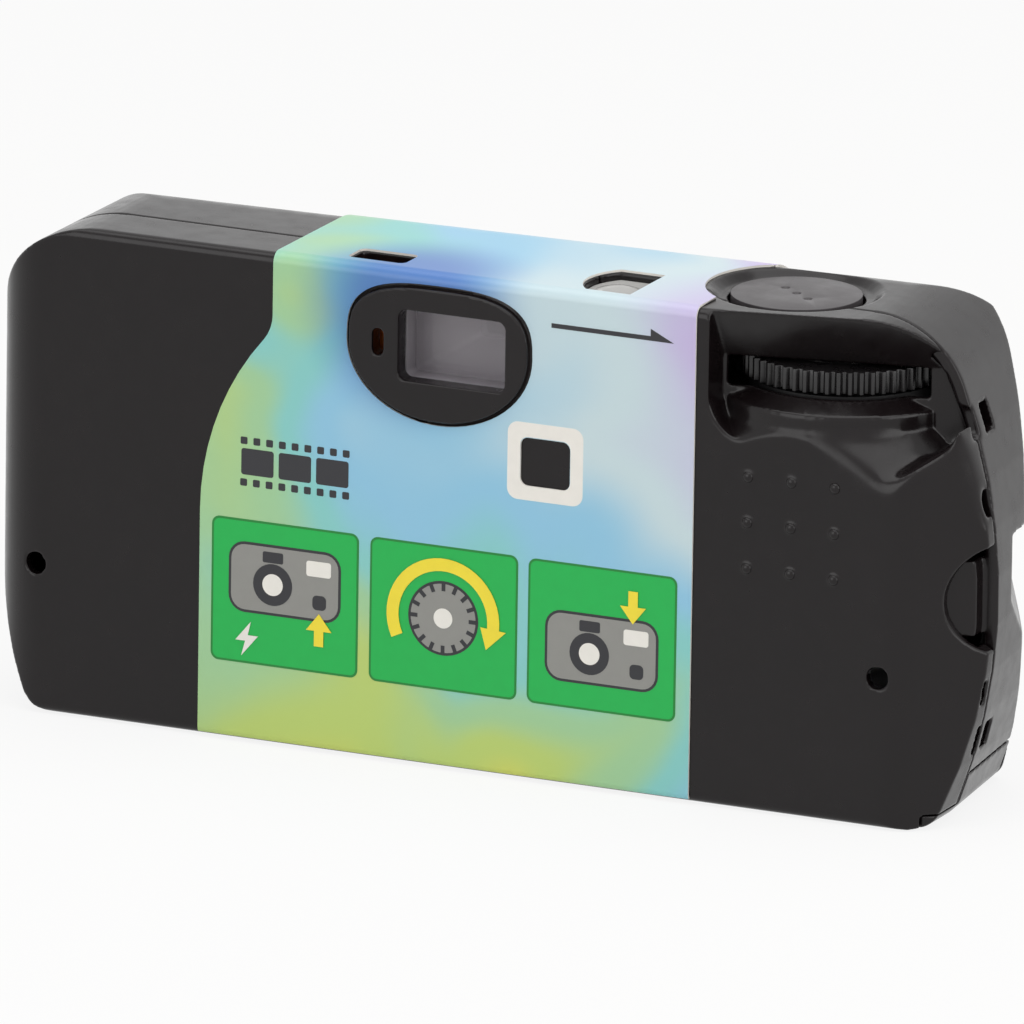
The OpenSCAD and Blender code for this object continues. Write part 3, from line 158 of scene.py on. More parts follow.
class LabelSettings(bpy.types.PropertyGroup):
    lilac: colour("Lilac", "Violet part of the wash", "#c3b4dd")
    pale: colour("Pale", "Lightest part of the wash", "#c6d9de")
    sky: colour("Sky", "Middle of the wash", "#8ec4e0")
    turquoise: colour("Turquoise", "Green blue part of the wash", "#86cbc6")
    leaf: colour("Leaf", "Soft green part of the wash", "#a0cc9a")
    lime: colour("Lime", "Yellow green part of the wash", "#bbd070")
    yellow: colour("Yellow", "Warm part of the wash", "#ddd75a")
    deep: colour("Deep blue", "Halo over the eyepiece", "#3560b6")
    paper: colour("Paper", "Cut edges and the white frame", "#ece8e1")
    panel: colour("Panel", "Green panels", "#00b14a")
    panel_edge: colour("Panel edge", "Darker line round the panels", "#0b7f2d")
    ink: colour("Ink", "Dark ink of the arrow and signs", "#25252a")
    wash: length("Wash", "Width of one patch of colour", 27)


class StageSettings(bpy.types.PropertyGroup):
    azimuth: FloatProperty(name="Azimuth", description="Turn of the view", subtype="ANGLE",
                           default=math.radians(24.5))
    elevation: FloatProperty(name="Elevation", description="Height of the view", subtype="ANGLE",
                             default=math.radians(15.2))
    roll: FloatProperty(name="Roll", description="Clockwise lean of the view", subtype="ANGLE",
                        default=math.radians(0.88))
    lens: FloatProperty(name="Lens", description="Focal length in millimetres", min=1, default=800)
    scale: FloatProperty(name="Scale", description="Image pixels for one millimetre", min=0.1, default=9.4)
    top_light: FloatProperty(name="Top light", description="Power of the overhead panel", min=0, default=4.0)
    side_light: FloatProperty(name="Side light", description="Power of the panel on the right", min=0,
                              default=1.6)
    rear_light: FloatProperty(name="Rear light", description="Power of the panel behind the viewer", min=0,
                              default=2.0)
    room: FloatProperty(name="Room", description="Strength of the even light", min=0, default=0.45)


def add_node(tree, kind, settings=None, inputs=None):
    """Adds a node, sets its attributes, and gives its inputs a value or a link."""
    made = tree.nodes.new(kind)
    for key, value in (settings or {}).items():
        setattr(made, key, value)
    for key, value in (inputs or {}).items():
        if isinstance(value, bpy.types.NodeSocket):
            tree.links.new(value, made.inputs[key])
        else:
            made.inputs[key].default_value = value
    return made


def begin_material(name):
    """An empty material, its tree and its Object coordinates."""
    made = bpy.data.materials.new(name)
    made.use_nodes = True
    tree = made.node_tree
    tree.nodes.clear()
    return made, tree, add_node(tree, "ShaderNodeTexCoord").outputs["Object"]


def end_material(tree, inputs):
    """The shader of a material, with its values and links."""
    shader = add_node(tree, "ShaderNodeBsdfPrincipled", inputs=inputs)
    add_node(tree, "ShaderNodeOutputMaterial", inputs={"Surface": shader.outputs["BSDF"]})


def shade(tint, factor):
    """A colour made darker or lighter, with its alpha."""
    return (*(min(1, c * factor) for c in tint), 1)


def moulded_abs(name, tint, grain, rough, gloss=0.5):
    """Moulded ABS: a soft sheen broken by spark-eroded grain, with faint flow marks.

    The grain is drawn coarser than the real one, which is too fine to show.
    """
    flow_width = 14 * MM
    patch_width = 6 * grain
    relief = 0.02 * MM
    tint_spread = 0.25
    rough_spread = 0.05
    made, tree, at = begin_material(name)
    flow = add_node(tree, "ShaderNodeTexNoise", inputs={"Vector": at, "Scale": 1 / flow_width, "Detail": 3})
    tints = add_node(tree, "ShaderNodeMix", {"data_type": "RGBA"}, {
        0: flow.outputs["Fac"], 6: shade(tint, 1 - tint_spread), 7: shade(tint, 1 + tint_spread)})
    fine = add_node(tree, "ShaderNodeTexNoise", inputs={"Vector": at, "Scale": 1 / grain, "Roughness": 0.6})
    patch = add_node(tree, "ShaderNodeTexNoise", inputs={"Vector": at, "Scale": 1 / patch_width, "Detail": 3})
    dull = add_node(tree, "ShaderNodeMapRange", inputs={
        0: patch.outputs["Fac"], 1: 0.3, 2: 0.7, 3: rough - rough_spread, 4: rough + rough_spread})
    bump = add_node(tree, "ShaderNodeBump", inputs={
        "Strength": 0.18, "Distance": relief, "Height": fine.outputs["Fac"]})
    end_material(tree, {"Base Color": tints.outputs[2], "Roughness": dull.outputs[0], "IOR": 1.53,
                        "Specular IOR Level": gloss, "Normal": bump.outputs["Normal"]})
    return made


def clear_styrene(name, tint, alpha, rough=0.06):
    """Clear moulded polystyrene: a glossy skin that lets the piece behind show, with slight waves."""
    wave_width = 3 * MM
    relief = 0.02 * MM
    tint_spread = 0.08
    made, tree, at = begin_material(name)
    wave = add_node(tree, "ShaderNodeTexNoise", inputs={"Vector": at, "Scale": 1 / wave_width})
    tints = add_node(tree, "ShaderNodeMix", {"data_type": "RGBA"}, {
        0: wave.outputs["Fac"], 6: shade(tint, 1 - tint_spread), 7: shade(tint, 1 + tint_spread)})
    bump = add_node(tree, "ShaderNodeBump", inputs={
        "Strength": 0.1, "Distance": relief, "Height": wave.outputs["Fac"]})
    end_material(tree, {"Base Color": tints.outputs[2], "Roughness": rough, "IOR": 1.59, "Alpha": alpha,
                        "Normal": bump.outputs["Normal"]})
    return made


def bright_metal(name, tint, rough):
    """Rolled sheet or turned metal: reflects in its own colour, with fine rolling marks."""
    streak_width = 2 * MM
    darkest, lightest = 0.8, 1.05
    rough_spread = 0.06
    made, tree, at = begin_material(name)
    streak = add_node(tree, "ShaderNodeTexNoise", inputs={
        "Vector": at, "Scale": 1 / streak_width, "Detail": 4})
    tints = add_node(tree, "ShaderNodeMix", {"data_type": "RGBA"}, {
        0: streak.outputs["Fac"], 6: shade(tint, darkest), 7: shade(tint, lightest)})
    dull = add_node(tree, "ShaderNodeMapRange", inputs={
        0: streak.outputs["Fac"], 1: 0.3, 2: 0.7, 3: rough - rough_spread, 4: rough + rough_spread})
    end_material(tree, {"Base Color": tints.outputs[2], "Roughness": dull.outputs[0], "Metallic": 1})
    return made


def printed_paper(name, label):
    """Varnished label paper: an even gloss over a soft wash of colours, deeper round the eyepiece."""
    fibre_width = 0.6 * MM
    relief = 0.01 * MM
    patch_share = 0.6
    left_lean, right_lean = 0.34, 0.08
    low_lean, high_lean = 0.13, -0.11
    halo_near, halo_far, halo_share = 5 * MM, 15 * MM, 0.8
    halo_centre = ((EYE[0] - 5) * MM, REAR_Y, (EYE[1] + 4) * MM)
    made, tree, at = begin_material(name)
    patches = add_node(tree, "ShaderNodeTexNoise", inputs={
        "Vector": at, "Scale": 1 / label.wash, "Detail": 1.5, "Roughness": 0.4, "Distortion": 0.5})
    split = add_node(tree, "ShaderNodeSeparateXYZ", inputs={0: at})
    across = add_node(tree, "ShaderNodeMapRange", inputs={
        0: split.outputs["X"], 1: CAD_BOX[0].x / 2, 2: CAD_BOX[1].x / 2, 3: left_lean, 4: right_lean})
    up = add_node(tree, "ShaderNodeMapRange", inputs={
        0: split.outputs["Z"], 1: 0, 2: CAD_BOX[1].z, 3: low_lean, 4: high_lean})
    lean = add_node(tree, "ShaderNodeMath", {"operation": "ADD"}, {0: across.outputs[0], 1: up.outputs[0]})
    mixed = add_node(tree, "ShaderNodeMath", {"operation": "MULTIPLY_ADD"}, {
        0: patches.outputs["Fac"], 1: patch_share, 2: lean.outputs[0]})
    ramp = add_node(tree, "ShaderNodeValToRGB", inputs={"Fac": mixed.outputs[0]})
    ramp.color_ramp.interpolation = "EASE"
    stops = [(0.25, label.lilac), (0.35, label.pale), (0.45, label.sky), (0.53, label.turquoise),
             (0.6, label.leaf), (0.68, label.lime), (0.78, label.yellow)]
    while len(ramp.color_ramp.elements) < len(stops):
        ramp.color_ramp.elements.new(0.5)
    for step, (place, tint) in zip(ramp.color_ramp.elements, stops):
        step.position = place
        step.color = (*tint, 1)
    reach = add_node(tree, "ShaderNodeVectorMath", {"operation": "DISTANCE"}, {0: at, 1: halo_centre})
    halo = add_node(tree, "ShaderNodeMapRange", {"interpolation_type": "SMOOTHSTEP"}, {
        0: reach.outputs["Value"], 1: halo_near, 2: halo_far, 3: halo_share, 4: 0})
    tints = add_node(tree, "ShaderNodeMix", {"data_type": "RGBA"}, {
        0: halo.outputs[0], 6: ramp.outputs["Color"], 7: (*label.deep, 1)})
    fibre = add_node(tree, "ShaderNodeTexNoise", inputs={"Vector": at, "Scale": 1 / fibre_width, "Detail": 3})
    bump = add_node(tree, "ShaderNodeBump", inputs={
        "Strength": 0.05, "Distance": relief, "Height": fibre.outputs["Fac"]})
    end_material(tree, {"Base Color": tints.outputs[2], "Roughness": 0.32, "IOR": 1.5,
                        "Normal": bump.outputs["Normal"]})
    return made


def ink_layer(name, tint, rough=0.3):
    """Offset ink on the label: a flat film that takes the varnish's gloss, slightly uneven."""
    dot_width = 1.5 * MM
    tint_spread = 0.05
    made, tree, at = begin_material(name)
    density = add_node(tree, "ShaderNodeTexNoise", inputs={"Vector": at, "Scale": 1 / dot_width, "Detail": 3})
    tints = add_node(tree, "ShaderNodeMix", {"data_type": "RGBA"}, {
        0: density.outputs["Fac"], 6: shade(tint, 1 - tint_spread), 7: shade(tint, 1 + tint_spread)})
    end_material(tree, {"Base Color": tints.outputs[2], "Roughness": rough, "IOR": 1.5})
    return made


def select_only(piece):
    """Selects one object and makes it the active one."""
    bpy.ops.object.select_all(action="DESELECT")
    piece.select_set(True)
    bpy.context.view_layer.objects.active = piece


def edit(piece):
    """Opens a piece in edit mode with all of it selected."""
    select_only(piece)
    bpy.ops.object.mode_set(mode="EDIT")
    bpy.ops.mesh.select_all(action="SELECT")


def apply_modifier(piece, kind, **settings):
    """Adds a modifier to a piece and applies it."""
    select_only(piece)
    bpy.ops.object.modifier_add(type=kind)
    made = piece.modifiers[-1]
    for key, value in settings.items():
        setattr(made, key, value)
    bpy.ops.object.modifier_apply(modifier=made.name)


def join(name, pieces):
    """One named object made of several."""
    bpy.ops.object.select_all(action="DESELECT")
    for piece in pieces:
        piece.select_set(True)
    bpy.context.view_layer.objects.active = pieces[0]
    if len(pieces) > 1:
        bpy.ops.object.join()
    whole = bpy.context.active_object
    whole.name = name
    whole.data.name = name
    return whole


def copy_of(node, name):
    """A free copy of a CAD node with its triangles joined."""
    weld = 0.001 * MM
    select_only(frame["nodes"][node])
    bpy.ops.object.duplicate()
    piece = bpy.context.active_object
    bpy.ops.object.parent_clear(type="CLEAR_KEEP_TRANSFORM")
    piece.name = name
    piece.data.name = name
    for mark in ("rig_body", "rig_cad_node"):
        if mark in piece:
            del piece[mark]
    edit(piece)
    bpy.ops.mesh.remove_doubles(threshold=weld)
    bpy.ops.object.mode_set(mode="OBJECT")
    return piece


def paint(piece, *materials):
    """Gives a piece its materials."""
    piece.data.materials.clear()
    for made in materials:
        piece.data.materials.append(made)


def settle(piece, body, slot=None, replaced=()):
    """Joins a finished piece to its body and hides the nodes that it stands for."""
    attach(piece, body)
    if replaced:
        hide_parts(*replaced)


def body_of_node(node):
    """The name of the body that a node belongs to."""
    bodies = frame["record"]["behaviour"]["bodies"]
    return next(name for name, members in bodies.items() if node in members)


def round_copy(node, name, width):
    """A copy of a node with every sharp edge bevelled."""
    flat, sharp, soft = (math.radians(turn) for turn in (1, 35, 30))
    piece = copy_of(node, name)
    apply_modifier(piece, "DECIMATE", decimate_type="DISSOLVE", angle_limit=flat)
    apply_modifier(piece, "BEVEL", width=width, segments=3, limit_method="ANGLE", angle_limit=sharp,
                   use_clamp_overlap=True)
    select_only(piece)
    bpy.ops.object.shade_smooth_by_angle(angle=soft)
    return piece


def shifted(point, step):
    """A flat point moved by a step."""
    return (point[0] + step[0], point[1] + step[1])


def plate(centre, w, h, r):
    """A rectangle of a width and a height with round corners, as points in millimetres."""
    steps = 6
    points = []
    for turn, (sx, sy) in enumerate(((1, 1), (-1, 1), (-1, -1), (1, -1))):
        for k in range(steps + 1):
            a = math.radians(90 * turn + 90 * k / steps)
            points.append((centre[0] + sx * (w / 2 - r) + r * math.cos(a),
                           centre[1] + sy * (h / 2 - r) + r * math.sin(a)))
    return points


def disc(centre, r, steps=32):
    """A round dot, as points in millimetres."""
    return [(centre[0] + r * math.cos(math.tau * k / steps), centre[1] + r * math.sin(math.tau * k / steps))
            for k in range(steps)]


def ink_film(name, points, place, lift, hole=None):
    """A flat outline, put in place by a function and given the thickness of a film of ink."""
    fill = "NGON" if hole is None else "NOTHING"
    bpy.ops.object.select_all(action="DESELECT")
    bpy.ops.mesh.primitive_circle_add(vertices=len(points), radius=1, fill_type=fill)
    piece = bpy.context.active_object
    for point, flat in zip(piece.data.vertices, points):
        point.co = place(*flat)
    edit(piece)
    if hole is not None:
        bpy.ops.mesh.primitive_circle_add(vertices=len(hole), radius=1, fill_type="NOTHING")
        bpy.ops.object.mode_set(mode="OBJECT")
        for point, flat in zip(list(piece.data.vertices)[len(points):], hole):
            point.co = place(*flat)
        edit(piece)
        bpy.ops.mesh.bridge_edge_loops()
        bpy.ops.mesh.select_all(action="SELECT")
    bpy.ops.mesh.extrude_region_move(TRANSFORM_OT_translate={"value": lift})
    bpy.ops.mesh.select_all(action="SELECT")
    bpy.ops.mesh.normals_make_consistent(inside=False)
    bpy.ops.object.mode_set(mode="OBJECT")
    piece.name = name
    return piece


class FILMCAM_OT_covers(bpy.types.Operator):
    """Rounds the edges of the moulded covers and of the film door"""
    bl_idname = "filmcam.covers"
    bl_label = "Covers"

    def execute(self, context):
        rough, gloss = 0.23, 0.28
        shells = {"rear_cover": "rear_shell", "front_cover": "front_shell", "film_door": "door_shell"}
        cover = context.scene.film_cover
        plastic = moulded_abs("black_moulded_abs", cover.plastic, cover.grain, rough, gloss)
        for node, name in shells.items():
            piece = self.soften(node, name, cover)
            paint(piece, plastic)
            settle(piece, body_of_node(node), "black_plastic", (node,))
        pips = self.pips()
        paint(pips, plastic)
        settle(pips, "camera", "black_plastic")
        return {"FINISHED"}

    def soften(self, node, name, cover):
        """A copy whose edges are rounded as moulded ones are."""
        face_budget = 85000
        pull = 0.5
        piece = copy_of(node, name)
        apply_modifier(piece, "REMESH", mode="VOXEL", voxel_size=cover.voxel)
        apply_modifier(piece, "SMOOTH", factor=pull, iterations=cover.edge_passes)
        if node != "film_door":
            self.mark_lip(piece)
            apply_modifier(piece, "SMOOTH", factor=pull, iterations=cover.lip_passes, vertex_group="lip")
        if node == "rear_cover":
            self.mark_dip(piece)
            apply_modifier(piece, "SMOOTH", factor=pull, iterations=cover.dip_passes, vertex_group="dip")
        faces = len(piece.data.polygons)
        apply_modifier(piece, "DECIMATE", decimate_type="COLLAPSE", ratio=min(1, face_budget / faces))
        select_only(piece)
        bpy.ops.object.shade_smooth()
        return piece

    def depth(self, at):
        """How far a point lies under the flat rear face and the slanted one at the right."""
        slant_width = 8 * MM
        bend = CAD_BOX[1].x - slant_width
        slope = math.tan(math.radians(39))
        return at.y - REAR_Y - max(0, at.x - bend) * slope

    def mark_lip(self, piece):
        """Weights the points of the lower lip and of the right end of the thumb recess."""
        low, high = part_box("thumbwheel")
        bottom = low.z - 11 * MM
        lip_left, lip_top, lip_depth = low.x + 1.2 * MM, low.z - 1.5 * MM, 3.5 * MM
        end_left, end_top, end_front = high.x + 3 * MM, high.z + 4 * MM, SEAM_Y + 2.5 * MM
        group = piece.vertex_groups.new(name="lip")
        for point in piece.data.vertices:
            at = point.co
            lip = at.x > lip_left and bottom < at.z < lip_top and self.depth(at) < lip_depth
            end = at.x > end_left and bottom < at.z < end_top and at.y < end_front
            if lip or end:
                group.add([point.index], 1, "REPLACE")

    def mark_dip(self, piece):
        """Weights the points of the soft hollow that runs down from the recess, fading at its borders."""
        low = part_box("thumbwheel")[0]
        left, bottom, top = low.x + 13 * MM, low.z - 13 * MM, low.z - 2.5 * MM
        deepest, front = 5.5 * MM, SEAM_Y - 0.4 * MM
        wide_fade, narrow_fade, seam_fade = 3 * MM, 1.5 * MM, 1.2 * MM
        group = piece.vertex_groups.new(name="dip")
        for point in piece.data.vertices:
            at = point.co
            fades = ((at.x - left) / wide_fade, (at.z - bottom) / wide_fade, (top - at.z) / narrow_fade,
                     (deepest - self.depth(at)) / narrow_fade, (front - at.y) / seam_fade)
            weight = math.prod(min(1, max(0, fade)) for fade in fades)
            if weight > 0:
                group.add([point.index], weight, "REPLACE")

    def pips(self):
        """Nine low domes that a thumb can feel on the rear."""
        radius, proud, sunk = 0.62 * MM, 0.42 * MM, 0.1 * MM
        across = 3
        at = Vector((PIP_FIRST[0] * MM, REAR_Y, PIP_FIRST[1] * MM))
        bpy.ops.object.select_all(action="DESELECT")
        bpy.ops.mesh.primitive_uv_sphere_add(segments=24, ring_count=12, radius=radius, location=at,
                                             rotation=(math.pi / 2, 0, 0))
        dome = bpy.context.active_object
        bpy.ops.object.transform_apply()
        edit(dome)
        bpy.ops.mesh.bisect(plane_co=at + Vector((0, sunk, 0)), plane_no=(0, 1, 0), clear_outer=True,
                            use_fill=True)
        bpy.ops.mesh.select_all(action="SELECT")
        bpy.ops.transform.resize(value=(1, proud / radius, 1), center_override=at)
        bpy.ops.mesh.normals_make_consistent(inside=False)
        bpy.ops.object.mode_set(mode="OBJECT")
        domes = [dome]
        for step in range(1, across * across):
            select_only(dome)
            move = (step % across * PIP_PITCH * MM, 0, step // across * PIP_PITCH * MM)
            bpy.ops.object.duplicate_move(TRANSFORM_OT_translate={"value": move})
            bpy.ops.object.transform_apply()
            domes.append(bpy.context.active_object)
        whole = join("raised_pips", domes)
        bpy.ops.object.shade_smooth_by_angle(angle=math.radians(40))
        return whole


class FILMCAM_OT_label(bpy.types.Operator):
    """Prints the wrap-round label and shows its cut paper edges"""
    bl_idname = "filmcam.label"
    bl_label = "Label"

    def execute(self, context):
        bare_rough = 0.6
        label = context.scene.film_label
        piece = copy_of("wrap_label", "printed_label")
        paint(piece, printed_paper("varnished_label_paper", label),
              ink_layer("cut_paper_edge", label.paper, bare_rough))
        low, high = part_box("wrap_label")
        for face in piece.data.polygons:
            if self.is_cut(face.center, face.normal, low, high):
                face.material_index = 1
        select_only(piece)
        bpy.ops.object.shade_smooth_by_angle(angle=math.radians(30))
        apply_modifier(piece, "WEIGHTED_NORMAL", weight=100, keep_sharp=True)
        settle(piece, "camera", "label", ("wrap_label",))
        return {"FINISHED"}

    def is_cut(self, at, normal, low, high):
        """True on the thin edges of the paper."""
        near, steep = 0.4 * MM, 0.5
        if at.y < low.y + near:
            return abs(normal.y) < steep
        if at.z > high.z - near:
            return abs(normal.z) < steep
        return abs(normal.x) > steep


class FILMCAM_OT_print(bpy.types.Operator):
    """Prints the panels, signs, arrow and window frame on the rear of the label"""
    bl_idname = "filmcam.print"
    bl_label = "Label print"

    def execute(self, context):
        label = context.scene.film_label
        self.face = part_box("wrap_label")[0].y
        green = ink_layer("green_ink", label.panel)
        edge = ink_layer("dark_green_ink", label.panel_edge)
        white = ink_layer("white_ink", label.paper)
        dark = ink_layer("dark_ink", label.ink)
        grey = ink_layer("grey_ink", linear("#8d8c88"))
        yellow = ink_layer("yellow_ink", linear("#f3dd35"))
        # Width, height and corner of each plate, in millimetres
        panel_edge, panel = (17.3, 15.9, 0.9), (16.8, 15.4, 0.7)
        frame_edge, frame_hole = (8.8, 8.5, 1.2), (5.86, 5.36, 0.9)
        camera_edge, camera = (13.2, 7.8, 1.9), (12.6, 7.2, 1.6)
        # Radius of the wheel's sign and the number of its points
        wheel_edge, wheel_face = (4.1, 48), (3.8, 48)
        cameras = [shifted(PANELS[0], (0, 1.6)), shifted(PANELS[2], (0, -1.2))]
        wheel = PANELS[1]
        self.group("panel_edges", edge, 1, [plate(c, *panel_edge) for c in PANELS])
        self.group("panels", green, 2, [plate(c, *panel) for c in PANELS])
        self.group("window_frame", white, 1, [plate(WINDOW, *frame_edge)], hole=plate(WINDOW, *frame_hole))
        self.group("wind_arrow", dark, 1, [WIND_ARROW])
        self.group("film_symbol", dark, 1, self.film_strip(FILM_SIGN))
        self.group("sign_outlines", dark, 3, [plate(c, *camera_edge) for c in cameras]
                   + [disc(wheel, *wheel_edge)])
        self.group("sign_bodies", grey, 4, [plate(c, *camera) for c in cameras] + [disc(wheel, *wheel_face)])
        self.group("sign_marks", dark, 5, self.marks(cameras, wheel))
        self.group("sign_lights", white, 6, self.lights(cameras, wheel))
        self.group("sign_arrows", yellow, 7, self.arrows(cameras, wheel))
        return {"FINISHED"}

    def marks(self, cameras, wheel):
        """Dark parts of the signs: lens rings, finders, switches and the ribs of the wheel."""
        lens_ring, finder, switch = 2.3, (2.4, 1.2, 0.2), (1.6, 1.6, 0.5)
        ribs, rib_half, rib_start, rib_end = 16, 0.22, 3, 3.8
        made = []
        for c in cameras:
            made += [disc(shifted(c, SIGN_LENS), lens_ring), plate(shifted(c, SIGN_FINDER), *finder),
                     plate(shifted(c, SIGN_SWITCH), *switch)]
        for k in range(ribs):
            a = math.tau * k / ribs
            out = Vector((math.cos(a), math.sin(a)))
            side = Vector((-out.y, out.x)) * rib_half
            near, far = Vector(wheel) + out * rib_start, Vector(wheel) + out * rib_end
            made.append([tuple(near - side), tuple(far - side), tuple(far + side), tuple(near + side)])
        return made

    def lights(self, cameras, wheel):
        """White parts of the signs: lenses, flash windows, a bolt and the hub of the wheel."""
        bolt = [(0.5, 2.4), (-1.3, -0.3), (-0.15, -0.3), (-0.6, -2.4), (1.35, 0.5), (0.15, 0.5)]
        bolt_height = 0.8
        lens, flash, hub = 1.2, (2.9, 1.7, 0.3), 1.1
        made = [disc(shifted(c, SIGN_LENS), lens) for c in cameras]
        made += [plate(shifted(c, SIGN_FLASH), *flash) for c in cameras]
        x, z = shifted(PANELS[0], (-4.4, -5.2))
        made.append([(x + a, z + b * bolt_height) for a, b in bolt])
        made.append(disc(wheel, hub))
        return made

    def arrows(self, cameras, wheel):
        """Yellow arrows: up to the switch, round the wheel and down on the button."""
        outer, inner = 6.6, 5.2
        first_turn, turn_step, steps = 205, 7.5, 29
        turns = [math.radians(first_turn - turn_step * k) for k in range(steps)]
        last = turns[-1]
        # Radius of each point of the arrow's head, and how far past the last turn it lies
        head = ((7.4, 0), (5.8, 0.42), (4.4, 0))
        x, z = wheel
        ring = [(x + outer * math.cos(a), z + outer * math.sin(a)) for a in turns]
        ring += [(x + reach * math.cos(last - lead), z + reach * math.sin(last - lead))
                 for reach, lead in head]
        ring += [(x + inner * math.cos(a), z + inner * math.sin(a)) for a in reversed(turns)]
        point = [(-0.55, -3.6), (0.55, -3.6), (0.55, -1.9), (1.5, -1.9), (0, 0), (-1.5, -1.9), (-0.55, -1.9)]
        x, z = shifted(cameras[0], (4.1, -3))
        up = [(x + a, z + b) for a, b in point]
        x, z = shifted(cameras[1], (3.6, 3.4))
        down = [(x + a, z - b) for a, b in point]
        return [ring, up, down]

    def film_strip(self, centre):
        """A strip of film: two rails of holes round three pictures."""
        picture, picture_pitch = (3.8, 2.9, 0.3), 4.4
        hole, hole_pitch, holes, rail = (0.8, 0.8, 0.15), 1.5, 9, 2.3
        made = [plate(shifted(centre, (picture_pitch * k, 0)), *picture) for k in (-1, 0, 1)]
        for k in range(holes):
            across = hole_pitch * (k - (holes - 1) / 2)
            made += [plate(shifted(centre, (across, side * rail)), *hole) for side in (-1, 1)]
        return made

    def group(self, name, material, layer, outlines, hole=None):
        """Prints outlines as one thin film of ink on the label."""
        depth = self.face - (layer - 1) * INK

        def place(x, z):
            return (x * MM, depth, z * MM)

        lift = (0, -INK, 0)
        made = [ink_film(f"{name}_{i}", points, place, lift, hole) for i, points in enumerate(outlines)]
        piece = join(name, made)
        paint(piece, material)
        settle(piece, "camera", "label")


class FILMCAM_OT_controls(bpy.types.Operator):
    """Finishes the button, the winding wheel, the flash switch and the marks on the counter"""
    bl_idname = "filmcam.controls"
    bl_label = "Controls"

    def execute(self, context):
        cover = context.scene.film_cover
        grey = moulded_abs("grey_moulded_abs", linear("#3c383a"), cover.grain, 0.4)
        black = moulded_abs("glossy_moulded_abs", linear("#141213"), cover.grain, 0.3)
        for node, name, finish, slot, width in (
                ("shutter_button", "button_cap", grey, "grey_plastic", 0.25),
                ("thumbwheel", "ribbed_wheel", black, "inner_plastic", 0.12),
                ("flash_switch", "flash_slider_cap", grey, "grey_plastic", 0.25)):
            piece = round_copy(node, name, width * MM)
            paint(piece, finish)
            settle(piece, body_of_node(node), slot, (node,))
        marks = self.counter_marks()
        paint(marks, ink_layer("counter_ink", linear("#2a2a2c"), 0.4))
        settle(marks, "counter", "pale_plastic")
        return {"FINISHED"}

    def counter_marks(self):
        """One tick for each picture on the counter dial, every third one longer."""
        low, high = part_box("counter_dial")
        centre = (low + high) / 2
        pictures, rim, half_width = 27, 8.2, 0.16
        starts = (5.6, 6.8, 6.8)

        def place(x, y):
            return (centre.x + x * MM, centre.y + y * MM, high.z)

        ticks = []
        for first, start in enumerate(starts):
            outline = [(start, -half_width), (rim, -half_width), (rim, half_width), (start, half_width)]
            tick = ink_film(f"tick_{first}", outline, place, (0, 0, INK))
            for k in range(first, pictures, len(starts)):
                select_only(tick)
                bpy.ops.object.duplicate()
                bpy.ops.transform.rotate(value=math.tau * k / pictures, orient_axis="Z",
                                         center_override=centre)
                bpy.ops.object.transform_apply()
                ticks.append(bpy.context.active_object)
            select_only(tick)
            bpy.ops.object.delete()
        return join("counter_marks", ticks)


class FILMCAM_OT_inside(bpy.types.Operator):
    """Paints the lenses, the flash and the pieces inside the covers"""
    bl_idname = "filmcam.inside"
    bl_label = "Lenses and inside"

    def execute(self, context):
        cover = context.scene.film_cover
        finishes = {
            "inner_plastic": moulded_abs("inner_black_abs", linear("#131213"), cover.grain, 0.5),
            "grey_plastic": moulded_abs("inner_grey_abs", linear("#6a6768"), cover.grain, 0.45),
            "pale_plastic": moulded_abs("white_acetal", linear("#dedbd4"), cover.grain, 0.4),
            "clear_plastic": clear_styrene("clear_polystyrene", linear("#9ea6a9"), 0.22),
            "amber_plastic": clear_styrene("amber_polystyrene", linear("#d9702c"), 0.85, 0.15),
            "glass": clear_styrene("flash_glass", linear("#d4dadd"), 0.35),
            "steel": bright_metal("spring_steel", linear("#b9babc"), 0.3),
            "aluminium": bright_metal("bright_aluminium", linear("#e2e3e4"), 0.14),
            "brass": bright_metal("brass_strip", linear("#c9a24c"), 0.3),
            "board": moulded_abs("board_lacquer", linear("#2a6a44"), cover.grain, 0.35),
            "film_base": moulded_abs("film_base", linear("#4b3a32"), cover.grain, 0.2),
            "cell": moulded_abs("cell_sleeve", linear("#3c434d"), cover.grain, 0.3),
        }
        for subpart in frame["record"]["subparts"]:
            node = frame["nodes"][subpart["node"]]
            finish = finishes.get(subpart["material_slot"])
            if finish is not None:
                paint(node, finish)
        # The finder's frame is painted pale grey, lighter than the other inner parts: painted light that
        # stands in for the light coming through the finder into its deep, shaded tunnel.
        paint(frame["nodes"]["viewfinder_frame"],
              moulded_abs("finder_abs_painted_light", linear("#9d989e"), cover.grain, 0.4))
        # The counter window is clear plastic; half of it is painted near white, a painted light that stands
        # in for the lit white dial seen through it.
        paint(frame["nodes"]["counter_window"], clear_styrene("window_styrene_painted_light", linear("#f0efec"), 0.5))
        # The finder's lenses get a pale opaque share of their tint: painted light that stands in for the
        # bright view seen through the finder.
        finder = clear_styrene("finder_styrene_painted_light", linear("#bdb7be"), 0.4)
        for node in ("eyepiece_lens", "objective_lens"):
            paint(frame["nodes"][node], finder)
        self.stretching_spring()
        return {"FINISHED"}

    def stretching_spring(self):
        """A copy of the blade's spring, shown in place of the spring node."""
        coil = copy_of("blade_spring", "blade_coil")
        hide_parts("blade_spring")
        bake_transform(coil)


